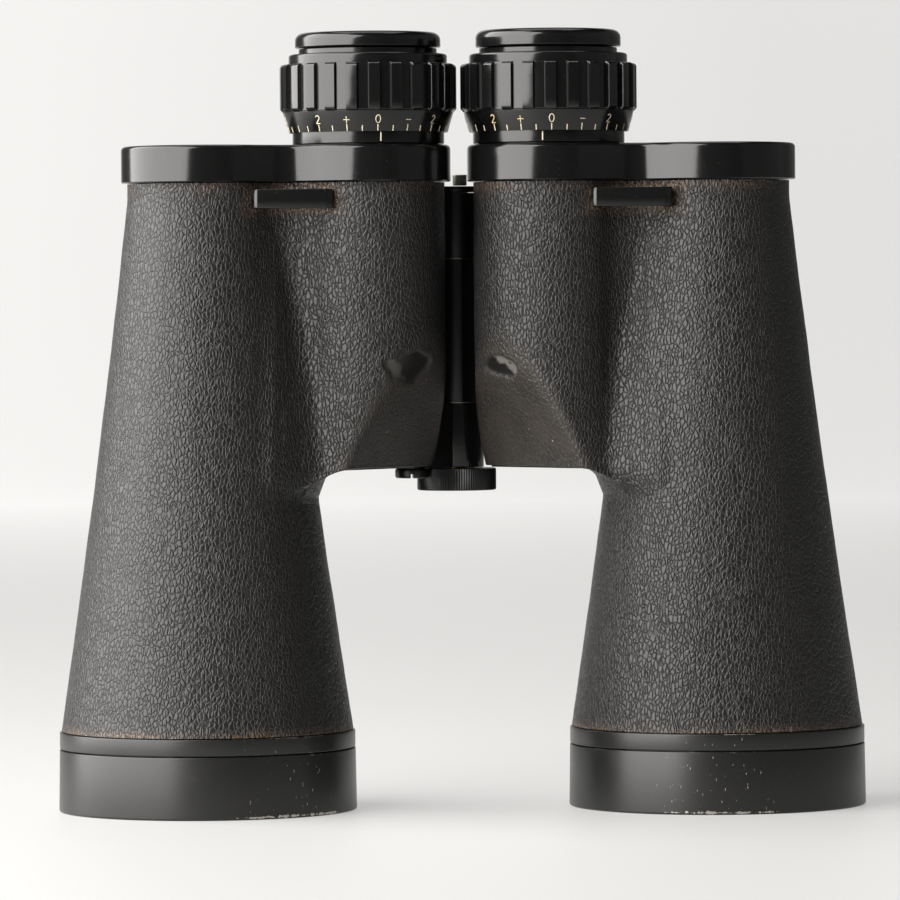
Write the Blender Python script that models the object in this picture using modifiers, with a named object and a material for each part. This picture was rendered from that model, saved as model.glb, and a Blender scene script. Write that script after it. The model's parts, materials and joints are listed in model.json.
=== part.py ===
"""Large individual-focus Porro binoculars, standing on their objective hoods.

Each side is a one-piece barrel and prism housing that carries half of the hinge. The hinge axis
is vertical. The side of the binoculars that faces down in use faces -Y. Units are metres.
"""

import math

import bmesh
import bpy
from mathutils import Matrix, Vector

# Gaps and wall sizes shared by everything
GAP = 0.0003
WALL = 0.0025
LEATHER = 0.0008
SEGMENTS = 24
OVERSHOOT = 0.006

# Driving sizes: the radii are over the leatherette, the heights are from the ground
BARREL_RADIUS = 0.0441
LOBE_RADIUS = 0.0229
PORRO_SHIFT = 0.0500
AXIS_SET_FORWARD = 0.0250
HOUSING_FLOOR = 0.1031
HOUSING_TOP = 0.1890

# Objective end
HOOD_PROUD = 0.0009
HOOD_TAPER = 0.0003
HOOD_CHAMFER = 0.0004
HOOD_HEIGHT = 0.0187
HOOD_LIP = 0.0015
HOOD_SEAT = 0.0087
COLLAR_PROUD = 0.00055
COLLAR_HEIGHT = 0.0050
SPIGOT_STEP = 0.0008
SPIGOT_WALL = 0.0020
CELL_WALL = 0.0019
LENS_SHELF = 0.0015
CROWN_EDGE = 0.0040
FLINT_EDGE = 0.0044
LENS_BULGE = 0.0017

# Barrel taper and prism housing
BARREL_TOP_STEP = 0.0006
BARREL_FLARE = 0.00083
BARREL_STEPS = 5
VALLEY_RADIUS = 0.0085
CASTING_LIP = 0.0005

# Oblique facet that thins each housing towards the hinge
FACET_AZIMUTH = math.radians(40.7)
FACET_SLOPE = 2.3
FACET_REACH = 0.00587
FACET_BLOCK = 0.16

# Prism cover plate
COVER_HEIGHT = 0.0111
COVER_PROUD = 0.0020
COVER_EDGE = 0.0012
COVER_LAND = 0.0029

# Prisms and their shelf
SHELF_DEPTH = 0.0403
SHELF_THICKNESS = 0.0024
PRISM_CLEARANCE = 0.0009
PRISM_CORNER = 0.0030
CLIP_WIDTH = 0.0080
CLIP_THICKNESS = 0.0006

# Eyepiece: steps are radial, from the sleeve, and heights are above the cover plate
SLEEVE_STEP = 0.00005
SLEEVE_HEIGHT = 0.0105
SPIGOT_DEPTH = 0.0022
SLEEVE_SPIGOT_STEP = 0.00175
SLEEVE_WALL = 0.00335
OCULAR_WALL = 0.0020
OCULAR_DEPTH = 0.0069
OCULAR_HEIGHT = 0.0271
FIELD_LENS_HEIGHT = 0.0060
SCALE_START = 0.0046
SCALE_TOP = 0.0100
SCALE_STEP_LOW = 0.0010
SCALE_STEP_HIGH = 0.0029
GRIP_START = 0.0103
GRIP_TOP = 0.0244
GRIP_STEP = 0.00375
GRIP_CLEARANCE = 0.0006
GRIP_COUNTERBORE = 0.0038
FLUTE_COUNT = 24
FLUTE_DEPTH = 0.0012
LAND_SHARE = 0.45
SHOULDER_STEP = 0.0010
SHOULDER_TOP = 0.0274
NECK_STEP = 0.00205
NECK_TOP = 0.0290
CAP_STEP = 0.00095
CAP_START = 0.0293
CAP_TOP = 0.0345
CAP_EDGE = 0.0015
CAP_RIM = 0.0035
CAP_SPIGOT_DEPTH = 0.0070
EYE_LENS_RADIUS = 0.0117
EYE_LENS_HEIGHT = 0.0050
GRIP_SCREW_RADIUS = 0.00095
GRIP_SCREW_HEIGHT = 0.0034

# Angles from the front towards +X in degrees, as (left, right)
LAND_ANGLE = (1.9, -2.3)
GRIP_SCREW_ANGLE = (17.5, -50.0)
ADJUSTER_ANGLE = (29.0, -38.7)
ADJUSTER_DROP = 0.0130
ADJUSTER_RADIUS = 0.0015

# Strap bar that bridges the valley between the lobes
BAR_LENGTH = 0.0237
BAR_HEIGHT = 0.0058
BAR_THICKNESS = 0.0025
BAR_DROP = 0.0078
BAR_INWARD = 0.0015
BAR_PROUD = 0.0001
BAR_EDGE = 0.0004

# Hinge
KNUCKLE_RADIUS = 0.0081
KNUCKLE_LIP = 0.0002
KNUCKLE_DROP = 0.0028
LOWER_KNUCKLE = 0.0199
UPPER_KNUCKLE = 0.0203
WEB_WIDTH = 0.0100
WEB_BITE = 0.0013
AXLE_RADIUS = 0.0040
FLANGE_HEIGHT = 0.0017
BUTTON_RADIUS = 0.00215
BUTTON_HEIGHT = 0.0033
BUTTON_ASIDE = 0.0016
SOCKET_RADIUS = 0.0060
SOCKET_DEPTH = 0.0100
STUD_RADIUS = 0.003175
STUD_REACH = 0.0080
KNOB_STEP = 0.0040
KNOB_HEIGHT = 0.0068
KNOB_EDGE = 0.0005
LOCK_SCREW_BEARING = math.radians(34.7)
LOCK_SCREW_RADIUS = 0.0050
LOCK_SCREW_HEIGHT = 0.0030
LOCK_SLOT_WIDTH = 0.0006
LOCK_SLOT_DEPTH = 0.0012

# Worked out from the sizes above. U is measured outwards from the hinge on either side
ARC_STEP = math.tau / SEGMENTS
SLEEVE_RADIUS = LOBE_RADIUS + SLEEVE_STEP
SLEEVE_SPIGOT_RADIUS = SLEEVE_RADIUS - SLEEVE_SPIGOT_STEP
OCULAR_RADIUS = SLEEVE_RADIUS - SLEEVE_WALL - GAP
GRIP_RADIUS = SLEEVE_RADIUS + GRIP_STEP
CAP_RADIUS = SLEEVE_RADIUS - CAP_STEP
EYE_U = GRIP_RADIUS + GRIP_CLEARANCE
OBJECTIVE_U = EYE_U + PORRO_SHIFT
MIDDLE_U = EYE_U + PORRO_SHIFT / 2
MIDDLE_Y = PORRO_SHIFT / 2 - AXIS_SET_FORWARD
COVER_BOTTOM = HOUSING_TOP + GAP
COVER_TOP = COVER_BOTTOM + COVER_HEIGHT
CASTING_INSET = LEATHER + GAP
CAVITY_INSET = CASTING_INSET + WALL
CASTING_FLOOR = HOUSING_FLOOR - CASTING_LIP
COLLAR_TOP = HOOD_HEIGHT + GAP + COLLAR_HEIGHT
BARREL_BOTTOM = COLLAR_TOP + GAP
BARREL_TOP_RADIUS = LOBE_RADIUS - BARREL_TOP_STEP
SPIGOT_RADIUS = BARREL_RADIUS - CASTING_INSET - SPIGOT_STEP
SPIGOT_BORE = SPIGOT_RADIUS - SPIGOT_WALL
CELL_RADIUS = SPIGOT_BORE - GAP
LENS_RADIUS = CELL_RADIUS - CELL_WALL - GAP
PRISM_WIDTH = math.sqrt(2) * (LOBE_RADIUS - CAVITY_INSET - PRISM_CLEARANCE)
SHELF_TOP = HOUSING_TOP - SHELF_DEPTH
HOOD_RADIUS = BARREL_RADIUS + HOOD_PROUD
KNUCKLE_BOTTOM = CASTING_FLOOR - KNUCKLE_LIP
KNUCKLE_TOP = HOUSING_TOP - KNUCKLE_DROP
HINGE_Y = (AXIS_SET_FORWARD + HOOD_RADIUS - MIDDLE_Y - LOBE_RADIUS - COVER_PROUD) / 2

BLACK_LEATHER = ((0.018, 0.018, 0.018), 0.62, 0.0)
BLACK_ENAMEL = ((0.006, 0.006, 0.006), 0.18, 0.0)
SATIN_BLACK = ((0.010, 0.010, 0.010), 0.32, 0.0)
MATT_BLACK = ((0.012, 0.012, 0.012), 0.70, 0.0)
BARE_STEEL = ((0.42, 0.41, 0.38), 0.35, 1.0)
BRASS = ((0.50, 0.38, 0.18), 0.35, 1.0)
GLASS = ((0.75, 0.80, 0.80), 0.03, 0.0)


def collection(name):
    made = bpy.data.collections.new(name)
    bpy.context.scene.collection.children.link(made)
    return made


def finish(obj, look):
    """Gives the object its own Principled material."""
    colour, roughness, metallic = look
    material = bpy.data.materials.new(obj.name)
    material.use_nodes = True
    shader = material.node_tree.nodes["Principled BSDF"]
    shader.inputs["Base Color"].default_value = (*colour, 1.0)
    shader.inputs["Roughness"].default_value = roughness
    shader.inputs["Metallic"].default_value = metallic
    obj.data.materials.append(material)


def place(name, mesh, parent, look=None):
    """Links a mesh under its axis empty: as a part where it has a look, else as a hidden cutter."""
    obj = bpy.data.objects.new(name, mesh)
    obj.parent = parent
    if look is None:
        obj.hide_render = True
        obj.display_type = "WIRE"
        CUTTERS.objects.link(obj)
    else:
        finish(obj, look)
        PARTS.objects.link(obj)
    return obj


def axis(name, x, y, parent=None):
    empty = bpy.data.objects.new(name, None)
    empty.location = (x, y, 0.0)
    empty.parent = parent
    PARTS.objects.link(empty)
    return empty


def turned(name, profile, parent, look=None):
    """A solid of revolution: (radius, height) points down the outer side, then up the inner one."""
    mesh = bpy.data.meshes.new(name)
    count = len(profile)
    hollow = min(radius for radius, _ in profile) > 0
    edges = [(i, (i + 1) % count) for i in range(count if hollow else count - 1)]
    mesh.from_pydata([(radius, 0.0, height) for radius, height in profile], edges, [])
    obj = place(name, mesh, parent, look)
    screw = obj.modifiers.new("Turn", "SCREW")
    screw.steps = SEGMENTS
    screw.render_steps = SEGMENTS
    screw.use_merge_vertices = True
    screw.merge_threshold = 1e-6
    return obj


def ring(name, outer, inner, bottom, top, parent, look=None):
    return turned(name, [(outer, top), (outer, bottom), (inner, bottom), (inner, top)], parent, look)


def rod(name, radius, bottom, top, parent, look=None):
    return turned(name, [(0.0, top), (radius, top), (radius, bottom), (0.0, bottom)], parent, look)


def extruded(name, outline, bottom, top, parent, look=None, edge=0.0, matrix=None):
    """A flat outline drawn up from bottom to top, with its upper rim rounded by edge."""
    bm = bmesh.new()
    face = bm.faces.new([bm.verts.new((x, y, bottom)) for x, y in outline])
    drawn = bmesh.ops.extrude_face_region(bm, geom=[face])["geom"]
    raised = [item for item in drawn if isinstance(item, bmesh.types.BMVert)]
    bmesh.ops.translate(bm, verts=raised, vec=(0.0, 0.0, top - bottom))
    if edge:
        rim = [e for e in bm.edges if all(v.co.z > top - GAP for v in e.verts)]
        bmesh.ops.bevel(bm, geom=rim, offset=edge, segments=2, profile=0.5, affect="EDGES")
    bmesh.ops.recalc_face_normals(bm, faces=bm.faces)
    mesh = bpy.data.meshes.new(name)
    bm.to_mesh(mesh)
    bm.free()
    if matrix:
        mesh.transform(matrix)
    return place(name, mesh, parent, look)


def boolean(target, other, operation):
    """The exact solver leaves open edges where the turned shapes meet, so this is the manifold one."""
    modifier = target.modifiers.new(other.name, "BOOLEAN")
    modifier.object = other
    modifier.operation = operation
    modifier.solver = "MANIFOLD"


def cut(target, *others):
    for other in others:
        boolean(target, other, "DIFFERENCE")


def join(target, *others):
    for other in others:
        boolean(target, other, "UNION")


def front_angle(degrees):
    """Unit vector in plan at an angle from the front (-Y) towards +X."""
    angle = math.radians(degrees)
    return Vector((math.sin(angle), -math.cos(angle), 0.0))


def arc(centre, radius, start, end, ends=True):
    """Points at whole steps, so that arcs and turned shapes on one axis share their facets."""
    first = math.floor(min(start, end) / ARC_STEP + 1.3)
    last = math.ceil(max(start, end) / ARC_STEP - 1.3)
    angles = [ARC_STEP * i for i in range(first, last + 1)]
    if end < start:
        angles.reverse()
    if ends:
        angles = [start, *angles, end]
    return [(centre[0] + radius * math.cos(a), centre[1] + radius * math.sin(a)) for a in angles]


def housing_outline(side, inset):
    """Rounded path objective, middle, eyepiece, with a concave valley between the end lobes."""
    radius = LOBE_RADIUS - inset
    valley = VALLEY_RADIUS + inset
    half_shift = PORRO_SHIFT / 2
    drop = math.sqrt((LOBE_RADIUS + VALLEY_RADIUS) ** 2 - half_shift**2)
    tangent = math.atan2(drop, half_shift)
    fillet = (MIDDLE_U, -AXIS_SET_FORWARD - drop)
    points = arc((OBJECTIVE_U, -AXIS_SET_FORWARD), radius, tangent - math.pi, math.pi / 4)
    points += arc((MIDDLE_U, MIDDLE_Y), radius, math.pi / 4, math.pi * 3 / 4)
    points += arc((EYE_U, -AXIS_SET_FORWARD), radius, math.pi * 3 / 4, math.pi * 2 - tangent)
    points += arc(fillet, valley, math.pi - tangent, tangent, ends=False)
    return [(side * u, y) for u, y in points]


def barrel_radius(height):
    """Outer radius over the leatherette: a straight taper with a slight inward flare."""
    share = (height - BARREL_BOTTOM) / (HOUSING_TOP - BARREL_BOTTOM)
    taper = BARREL_RADIUS + (BARREL_TOP_RADIUS - BARREL_RADIUS) * share
    return taper - 4 * BARREL_FLARE * share * (1 - share)


def barrel_profile(inset, bottom, top):
    """The barrel's outline at an inset, with its foot carried straight down to bottom."""
    span = top - BARREL_BOTTOM
    heights = [BARREL_BOTTOM + span * i / BARREL_STEPS for i in range(BARREL_STEPS, -1, -1)]
    profile = [(0.0, top)] + [(barrel_radius(height) - inset, height) for height in heights]
    if bottom < BARREL_BOTTOM:
        profile.append((profile[-1][0], bottom))
    return profile + [(0.0, bottom)]


def facet_block(name, side, inset, barrel):
    """A block whose one face is the oblique facet, moved inwards by the inset."""
    plan = Vector((-side * math.cos(FACET_AZIMUTH), -math.sin(FACET_AZIMUTH), 0.0))
    along = Vector((-plan.y, plan.x, 0.0))
    normal = Vector((plan.x * FACET_SLOPE, plan.y * FACET_SLOPE, -1.0)).normalized()
    foot = Vector((side * EYE_U, -AXIS_SET_FORWARD, HOUSING_FLOOR)) + plan * FACET_REACH
    centre = foot + normal * (FACET_BLOCK / 2 - inset)
    bm = bmesh.new()
    bmesh.ops.create_cube(bm, size=FACET_BLOCK)
    turn = Matrix((along, normal.cross(along), normal)).transposed()
    bmesh.ops.transform(bm, matrix=Matrix.Translation(centre) @ turn.to_4x4(), verts=bm.verts)
    bmesh.ops.recalc_face_normals(bm, faces=bm.faces)
    mesh = bpy.data.meshes.new(name)
    bm.to_mesh(mesh)
    bm.free()
    return place(name, mesh, barrel)


def envelope(name, side, inset, floor, top, foot, frames, look=None):
    """The body's outer form, shrunk by an inset: a faceted prism housing joined to a barrel."""
    barrel, objective = frames
    body = extruded(name, housing_outline(side, inset), floor, top, barrel, look)
    cut(body, facet_block(name + "_facet", side, inset, barrel))
    high = HOUSING_TOP - OVERSHOOT
    join(body, turned(name + "_barrel", barrel_profile(inset, foot, high), objective))
    return body


def web_block(name, side, bottom, top, grown, frame):
    """A rib from the hinge axis to the eyepiece lobe's wall."""
    reach = math.hypot(EYE_U, AXIS_SET_FORWARD) - LOBE_RADIUS + CASTING_INSET + WEB_BITE
    half = WEB_WIDTH / 2 + grown
    start = AXLE_RADIUS / 2
    outline = [(start, -half), (reach, -half), (reach, half), (start, half)]
    turn = Matrix.Rotation(math.atan2(-AXIS_SET_FORWARD, side * EYE_U), 4, "Z")
    return extruded(name, outline, bottom - grown, top + grown, frame, matrix=turn)


def knuckle_spans(side):
    """Heights of the hinge knuckles: two on the left body, one between them on the right."""
    low, high = KNUCKLE_BOTTOM + LOWER_KNUCKLE, KNUCKLE_TOP - UPPER_KNUCKLE
    if side < 0:
        return [(KNUCKLE_BOTTOM, low - GAP), (high + GAP, KNUCKLE_TOP)]
    return [(low, high)]


def adjuster(name, side, radius, start, end, barrel, look=None):
    """A radial cylinder through the eyepiece lobe at the prism adjusting screw."""
    outward = front_angle(ADJUSTER_ANGLE[side > 0])
    lobe = Vector((side * EYE_U, -AXIS_SET_FORWARD, SHELF_TOP - ADJUSTER_DROP))
    middle = lobe + outward * ((start + end) / 2)
    return radial_cylinder(name, radius, end - start, outward, middle, barrel, look)


def radial_cylinder(name, radius, length, outward, middle, frame, look=None):
    bm = bmesh.new()
    turn = Vector((0.0, 0.0, 1.0)).rotation_difference(outward).to_matrix().to_4x4()
    bmesh.ops.create_cone(
        bm, cap_ends=True, segments=12, radius1=radius, radius2=radius, depth=length,
        matrix=Matrix.Translation(middle) @ turn,
    )
    mesh = bpy.data.meshes.new(name)
    bm.to_mesh(mesh)
    bm.free()
    return place(name, mesh, frame, look)


def bar_outline(side, grown=0.0):
    """A staple in plan: the bar across the valley and its two legs back into the casting."""
    half = BAR_LENGTH / 2 + grown
    inner = BAR_LENGTH / 2 - BAR_THICKNESS - grown
    front = -AXIS_SET_FORWARD - LOBE_RADIUS - BAR_PROUD - grown
    back = front + BAR_THICKNESS + 2 * grown
    near = grown - AXIS_SET_FORWARD - bar_seat(-BAR_INWARD)
    far = grown - AXIS_SET_FORWARD - bar_seat(BAR_INWARD)
    corners = [(-half, front), (half, front), (half, far), (inner, far)]
    corners += [(inner, back), (-inner, back), (-inner, near), (-half, near)]
    return [(side * (MIDDLE_U - BAR_INWARD + u), y) for u, y in corners]


def bar_seat(shift):
    """How far before the lobe axes the casting's wall stands at one end of the bar."""
    offset = PORRO_SHIFT / 2 - BAR_LENGTH / 2 + shift
    return math.sqrt((LOBE_RADIUS - CASTING_INSET) ** 2 - offset**2) + GAP


def build_body(side, word, frames):
    """Casting, leatherette, cover plate, strap bar and adjusting screw of one side."""
    barrel, objective, eye = frames
    case = (barrel, objective)
    casting = envelope(
        word + "body_casting", side, CASTING_INSET, CASTING_FLOOR, HOUSING_TOP,
        BARREL_BOTTOM, case, SATIN_BLACK,
    )
    spigot_bottom = HOOD_SEAT + GAP
    join(casting, rod(word + "spigot", SPIGOT_RADIUS, spigot_bottom, COLLAR_TOP + 2 * GAP, objective))
    cavity = envelope(
        word + "cavity", side, CAVITY_INSET, CASTING_FLOOR + WALL, HOUSING_TOP + OVERSHOOT,
        BARREL_BOTTOM, case,
    )
    join(cavity, rod(word + "spigot_bore", SPIGOT_BORE, 0.0, BARREL_BOTTOM + GAP, objective))
    leather = envelope(
        word + "leatherette", side, 0.0, HOUSING_FLOOR, HOUSING_TOP, BARREL_BOTTOM, case, BLACK_LEATHER
    )
    skin = envelope(
        word + "skin_inside", side, LEATHER, CASTING_FLOOR - GAP, HOUSING_TOP + OVERSHOOT,
        BARREL_BOTTOM - OVERSHOOT, case,
    )
    cut(leather, skin)
    for number, (bottom, top) in enumerate(knuckle_spans(side)):
        name = f"{word}web_{number}"
        join(casting, rod(f"{word}knuckle_{number}", KNUCKLE_RADIUS, bottom, top, barrel))
        join(casting, web_block(name, side, bottom, top, 0.0, barrel))
        cut(leather, web_block(name + "_room", side, bottom, top, GAP, barrel))
    cut(casting, cavity)
    cut(casting, rod(word + "axle_bore", AXLE_RADIUS + GAP, 0.0, HOUSING_TOP + OVERSHOOT, barrel))
    if side < 0:
        top = KNUCKLE_BOTTOM + SOCKET_DEPTH + GAP
        cut(casting, rod(word + "socket_bore", SOCKET_RADIUS + GAP, 0.0, top, barrel))
    wall_outside = LOBE_RADIUS - CASTING_INSET
    adjuster(
        word + "prism_adjusting_screw", side, ADJUSTER_RADIUS,
        wall_outside - WALL, wall_outside - WALL / 2, barrel, BARE_STEEL,
    )
    hole = adjuster(
        word + "adjuster_hole", side, ADJUSTER_RADIUS + GAP,
        wall_outside - WALL * 2, LOBE_RADIUS + WALL, barrel,
    )
    cut(casting, hole)
    cut(leather, hole)
    build_strap_bar(side, word, leather, barrel)
    build_cover(side, word, barrel, eye)


def build_strap_bar(side, word, leather, barrel):
    bottom = HOUSING_TOP - BAR_DROP
    top = bottom + BAR_HEIGHT
    name = word + "strap_bar"
    bar = extruded(name, bar_outline(side), bottom, top, barrel, SATIN_BLACK)
    bevel = bar.modifiers.new("Edges", "BEVEL")
    bevel.width = BAR_EDGE
    bevel.segments = 1
    room = extruded(name + "_room", bar_outline(side, GAP), bottom - GAP, top + GAP, barrel)
    cut(leather, room)


def build_cover(side, word, barrel, eye):
    outline = housing_outline(side, -COVER_PROUD)
    cover = extruded(
        word + "prism_cover", outline, COVER_BOTTOM, COVER_TOP, barrel, BLACK_ENAMEL, COVER_EDGE
    )
    inside = housing_outline(side, COVER_LAND)
    cut(cover, extruded(word + "cover_cavity", inside, 0.0, COVER_TOP - WALL, barrel))
    bore = SLEEVE_SPIGOT_RADIUS + GAP
    roof = COVER_TOP - WALL - GAP
    cut(cover, rod(word + "cover_hole", bore, roof, COVER_TOP + OVERSHOOT, eye))


def lens(name, radius, faces, parent):
    """A lens from its (centre, edge) heights, upper face first, each face a shallow sphere."""
    (top, top_edge), (bottom, bottom_edge) = faces
    steps = 3
    upper = [(radius * i / steps, top + (top_edge - top) * (i / steps) ** 2) for i in range(steps + 1)]
    lower = [
        (radius * i / steps, bottom + (bottom_edge - bottom) * (i / steps) ** 2)
        for i in range(steps, -1, -1)
    ]
    return turned(name, upper + lower, parent, GLASS)


def build_objective(word, objective):
    """Collar, hood, cell, doublet and retaining ring on one objective axis."""
    bore = SPIGOT_RADIUS + GAP
    ring(
        word + "objective_collar", BARREL_RADIUS + COLLAR_PROUD, bore, HOOD_HEIGHT + GAP, COLLAR_TOP,
        objective, BLACK_ENAMEL,
    )
    turned(
        word + "objective_hood",
        [
            (HOOD_RADIUS - HOOD_TAPER, HOOD_HEIGHT),
            (HOOD_RADIUS, HOOD_CHAMFER),
            (HOOD_RADIUS - HOOD_CHAMFER, 0.0),
            (bore - HOOD_LIP, 0.0),
            (bore - HOOD_LIP, HOOD_SEAT),
            (bore, HOOD_SEAT),
            (bore, HOOD_HEIGHT),
        ],
        objective,
        SATIN_BLACK,
    )
    cell_bottom = HOOD_SEAT + 2 * GAP
    cell_bore = CELL_RADIUS - CELL_WALL
    crown_seat = cell_bottom + 2 * LENS_SHELF
    crown_top = crown_seat + CROWN_EDGE
    flint_top = crown_top + FLINT_EDGE + GAP
    cell_top = flint_top + GAP + LENS_SHELF
    lip = cell_bore - LENS_SHELF
    turned(
        word + "objective_cell",
        [
            (CELL_RADIUS, cell_top),
            (CELL_RADIUS, cell_bottom),
            (cell_bore, cell_bottom),
            (cell_bore, flint_top + GAP),
            (lip, flint_top + GAP),
            (lip, cell_top),
        ],
        objective,
        MATT_BLACK,
    )
    crown = ((crown_top + LENS_BULGE, crown_top), (crown_seat - LENS_BULGE, crown_seat))
    flint = ((flint_top, flint_top), (crown_top + LENS_BULGE + GAP, crown_top + GAP))
    lens(word + "objective_crown_lens", LENS_RADIUS, crown, objective)
    lens(word + "objective_flint_lens", LENS_RADIUS, flint, objective)
    ring(
        word + "objective_retaining_ring", LENS_RADIUS, lip, cell_bottom, crown_seat - GAP,
        objective, MATT_BLACK,
    )


def build_prism(word, start, end, upright, frame):
    """A roof prism on the shelf, or under it, between two plan points, and its spring clip."""
    start, end = Vector((*start, 0.0)), Vector((*end, 0.0))
    along = (end - start).normalized()
    half = (end - start).length / 2 + PRISM_WIDTH / 2
    peak = half - PRISM_CORNER
    flat = [(-half, 0.0), (half, 0.0), (PRISM_CORNER, peak), (-PRISM_CORNER, peak)]
    strap_out = PRISM_WIDTH / 2 + GAP + CLIP_THICKNESS
    rise = peak + GAP + CLIP_THICKNESS
    staple = [
        (-strap_out, 0.0), (-strap_out, rise), (strap_out, rise), (strap_out, 0.0),
        (strap_out - CLIP_THICKNESS, 0.0), (strap_out - CLIP_THICKNESS, peak + GAP),
        (CLIP_THICKNESS - strap_out, peak + GAP), (CLIP_THICKNESS - strap_out, 0.0),
    ]
    up = Vector((0.0, 0.0, 1.0 if upright else -1.0))
    seat = SHELF_TOP + GAP if upright else SHELF_TOP - SHELF_THICKNESS - GAP
    middle = (start + end) / 2 + Vector((0.0, 0.0, seat))
    across = along.cross(up)
    prism_frame = Matrix.Translation(middle) @ Matrix((along, up, across)).transposed().to_4x4()
    clip_frame = Matrix.Translation(middle) @ Matrix((across, up, -along)).transposed().to_4x4()
    half_width = PRISM_WIDTH / 2
    extruded(word + "prism", flat, -half_width, half_width, frame, GLASS, matrix=prism_frame)
    extruded(
        word + "prism_clip", staple, -CLIP_WIDTH / 2, CLIP_WIDTH / 2, frame, BARE_STEEL, matrix=clip_frame
    )


def build_prisms(side, word, frames):
    barrel, objective, eye = frames
    bottom = SHELF_TOP - SHELF_THICKNESS
    shelf = extruded(
        word + "prism_shelf", housing_outline(side, CAVITY_INSET + GAP), bottom, SHELF_TOP, barrel,
        MATT_BLACK,
    )
    hole = PRISM_WIDTH / 2 - 2 * CLIP_THICKNESS
    middle = axis(word + "middle_axis", side * MIDDLE_U, MIDDLE_Y, barrel)
    for number, frame in enumerate((objective, middle, eye)):
        name = f"{word}light_hole_{number}"
        cut(shelf, rod(name, hole, bottom - GAP, SHELF_TOP + GAP, frame))
    lobe_o = (side * OBJECTIVE_U, -AXIS_SET_FORWARD)
    lobe_m = (side * MIDDLE_U, MIDDLE_Y)
    lobe_e = (side * EYE_U, -AXIS_SET_FORWARD)
    build_prism(word + "objective_", lobe_o, lobe_m, True, barrel)
    build_prism(word + "eyepiece_", lobe_m, lobe_e, False, barrel)


def fluted_outline(land_angle):
    """Plan of the grip ring: lands and flutes in turn, two corners for each."""
    pitch = math.tau / FLUTE_COUNT
    half_land = pitch * LAND_SHARE / 2
    half_flute = pitch / 2 - half_land
    ramp = half_flute / 4
    points = []
    for number in range(FLUTE_COUNT):
        land = math.radians(land_angle - 90.0) + number * pitch
        flute = land + pitch / 2
        corners = [(land - half_land, GRIP_RADIUS), (land + half_land, GRIP_RADIUS)]
        low = GRIP_RADIUS - FLUTE_DEPTH
        corners += [(flute - half_flute + ramp, low), (flute + half_flute - ramp, low)]
        points += [(r * math.cos(a), r * math.sin(a)) for a, r in corners]
    return points


def build_eyepiece(side, word, eye):
    """Everything on one eyepiece axis, from the sleeve in the cover up to the eye cap."""
    base = COVER_TOP
    sleeve_bore = OCULAR_RADIUS + GAP
    turned(
        word + "eyepiece_sleeve",
        [
            (SLEEVE_RADIUS, base + SLEEVE_HEIGHT),
            (SLEEVE_RADIUS, base + GAP),
            (SLEEVE_SPIGOT_RADIUS, base + GAP),
            (SLEEVE_SPIGOT_RADIUS, base - SPIGOT_DEPTH),
            (sleeve_bore, base - SPIGOT_DEPTH),
            (sleeve_bore, base + SLEEVE_HEIGHT),
        ],
        eye,
        SATIN_BLACK,
    )
    tube_bore = OCULAR_RADIUS - OCULAR_WALL
    tube_bottom = base - OCULAR_DEPTH
    ring(
        word + "ocular_tube", OCULAR_RADIUS, tube_bore, tube_bottom, base + OCULAR_HEIGHT,
        eye, MATT_BLACK,
    )
    field_low = tube_bottom + LENS_BULGE + GAP
    field_high = field_low + FIELD_LENS_HEIGHT
    field = ((field_high, field_high - LENS_BULGE), (field_low - LENS_BULGE, field_low))
    lens(word + "field_lens", tube_bore - GAP, field, eye)
    turned(
        word + "dioptre_scale_ring",
        [
            (SLEEVE_RADIUS + SCALE_STEP_HIGH, base + SCALE_TOP),
            (SLEEVE_RADIUS + SCALE_STEP_LOW, base + SCALE_START),
            (SLEEVE_RADIUS + GAP, base + SCALE_START),
            (SLEEVE_RADIUS + GAP, base + SCALE_TOP),
        ],
        eye,
        SATIN_BLACK,
    )
    build_grip(side, word, eye, base)
    build_cap(word, eye, base, tube_bore)


def build_grip(side, word, eye, base):
    outline = fluted_outline(LAND_ANGLE[side > 0])
    start, top = base + GRIP_START, base + GRIP_TOP
    grip = extruded(word + "grip_ring", outline, start, top, eye, SATIN_BLACK)
    shoulder, neck = base + SHOULDER_TOP, base + NECK_TOP
    shoulder_radius, neck_radius = SLEEVE_RADIUS + SHOULDER_STEP, SLEEVE_RADIUS - NECK_STEP
    upper = turned(
        word + "grip_shoulder",
        [
            (0.0, neck),
            (neck_radius, neck),
            (neck_radius, shoulder),
            (shoulder_radius, shoulder),
            (shoulder_radius, top - GAP),
            (0.0, top - GAP),
        ],
        eye,
    )
    join(grip, upper)
    low_bore, high_bore = SLEEVE_RADIUS + GAP, OCULAR_RADIUS + GAP
    step = start + GRIP_COUNTERBORE
    bore = turned(
        word + "grip_bore",
        [
            (0.0, neck + OVERSHOOT),
            (high_bore, neck + OVERSHOOT),
            (high_bore, step),
            (low_bore, step),
            (low_bore, start - OVERSHOOT),
            (0.0, start - OVERSHOOT),
        ],
        eye,
    )
    cut(grip, bore)
    height = Vector((0.0, 0.0, start + GRIP_SCREW_HEIGHT))
    inside, outside = low_bore + GAP, GRIP_RADIUS - FLUTE_DEPTH
    for number in range(3):
        outward = front_angle(GRIP_SCREW_ANGLE[side > 0] + 120 * number)
        name = f"{word}grip_ring_screw_{number + 1}"
        middle = outward * ((inside + outside) / 2) + height
        radial_cylinder(name, GRIP_SCREW_RADIUS, outside - inside, outward, middle, eye, BARE_STEEL)
        radius = GRIP_SCREW_RADIUS + GAP
        hole = radial_cylinder(name + "_hole", radius, OVERSHOOT, outward, middle, eye)
        cut(grip, hole)


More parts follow.
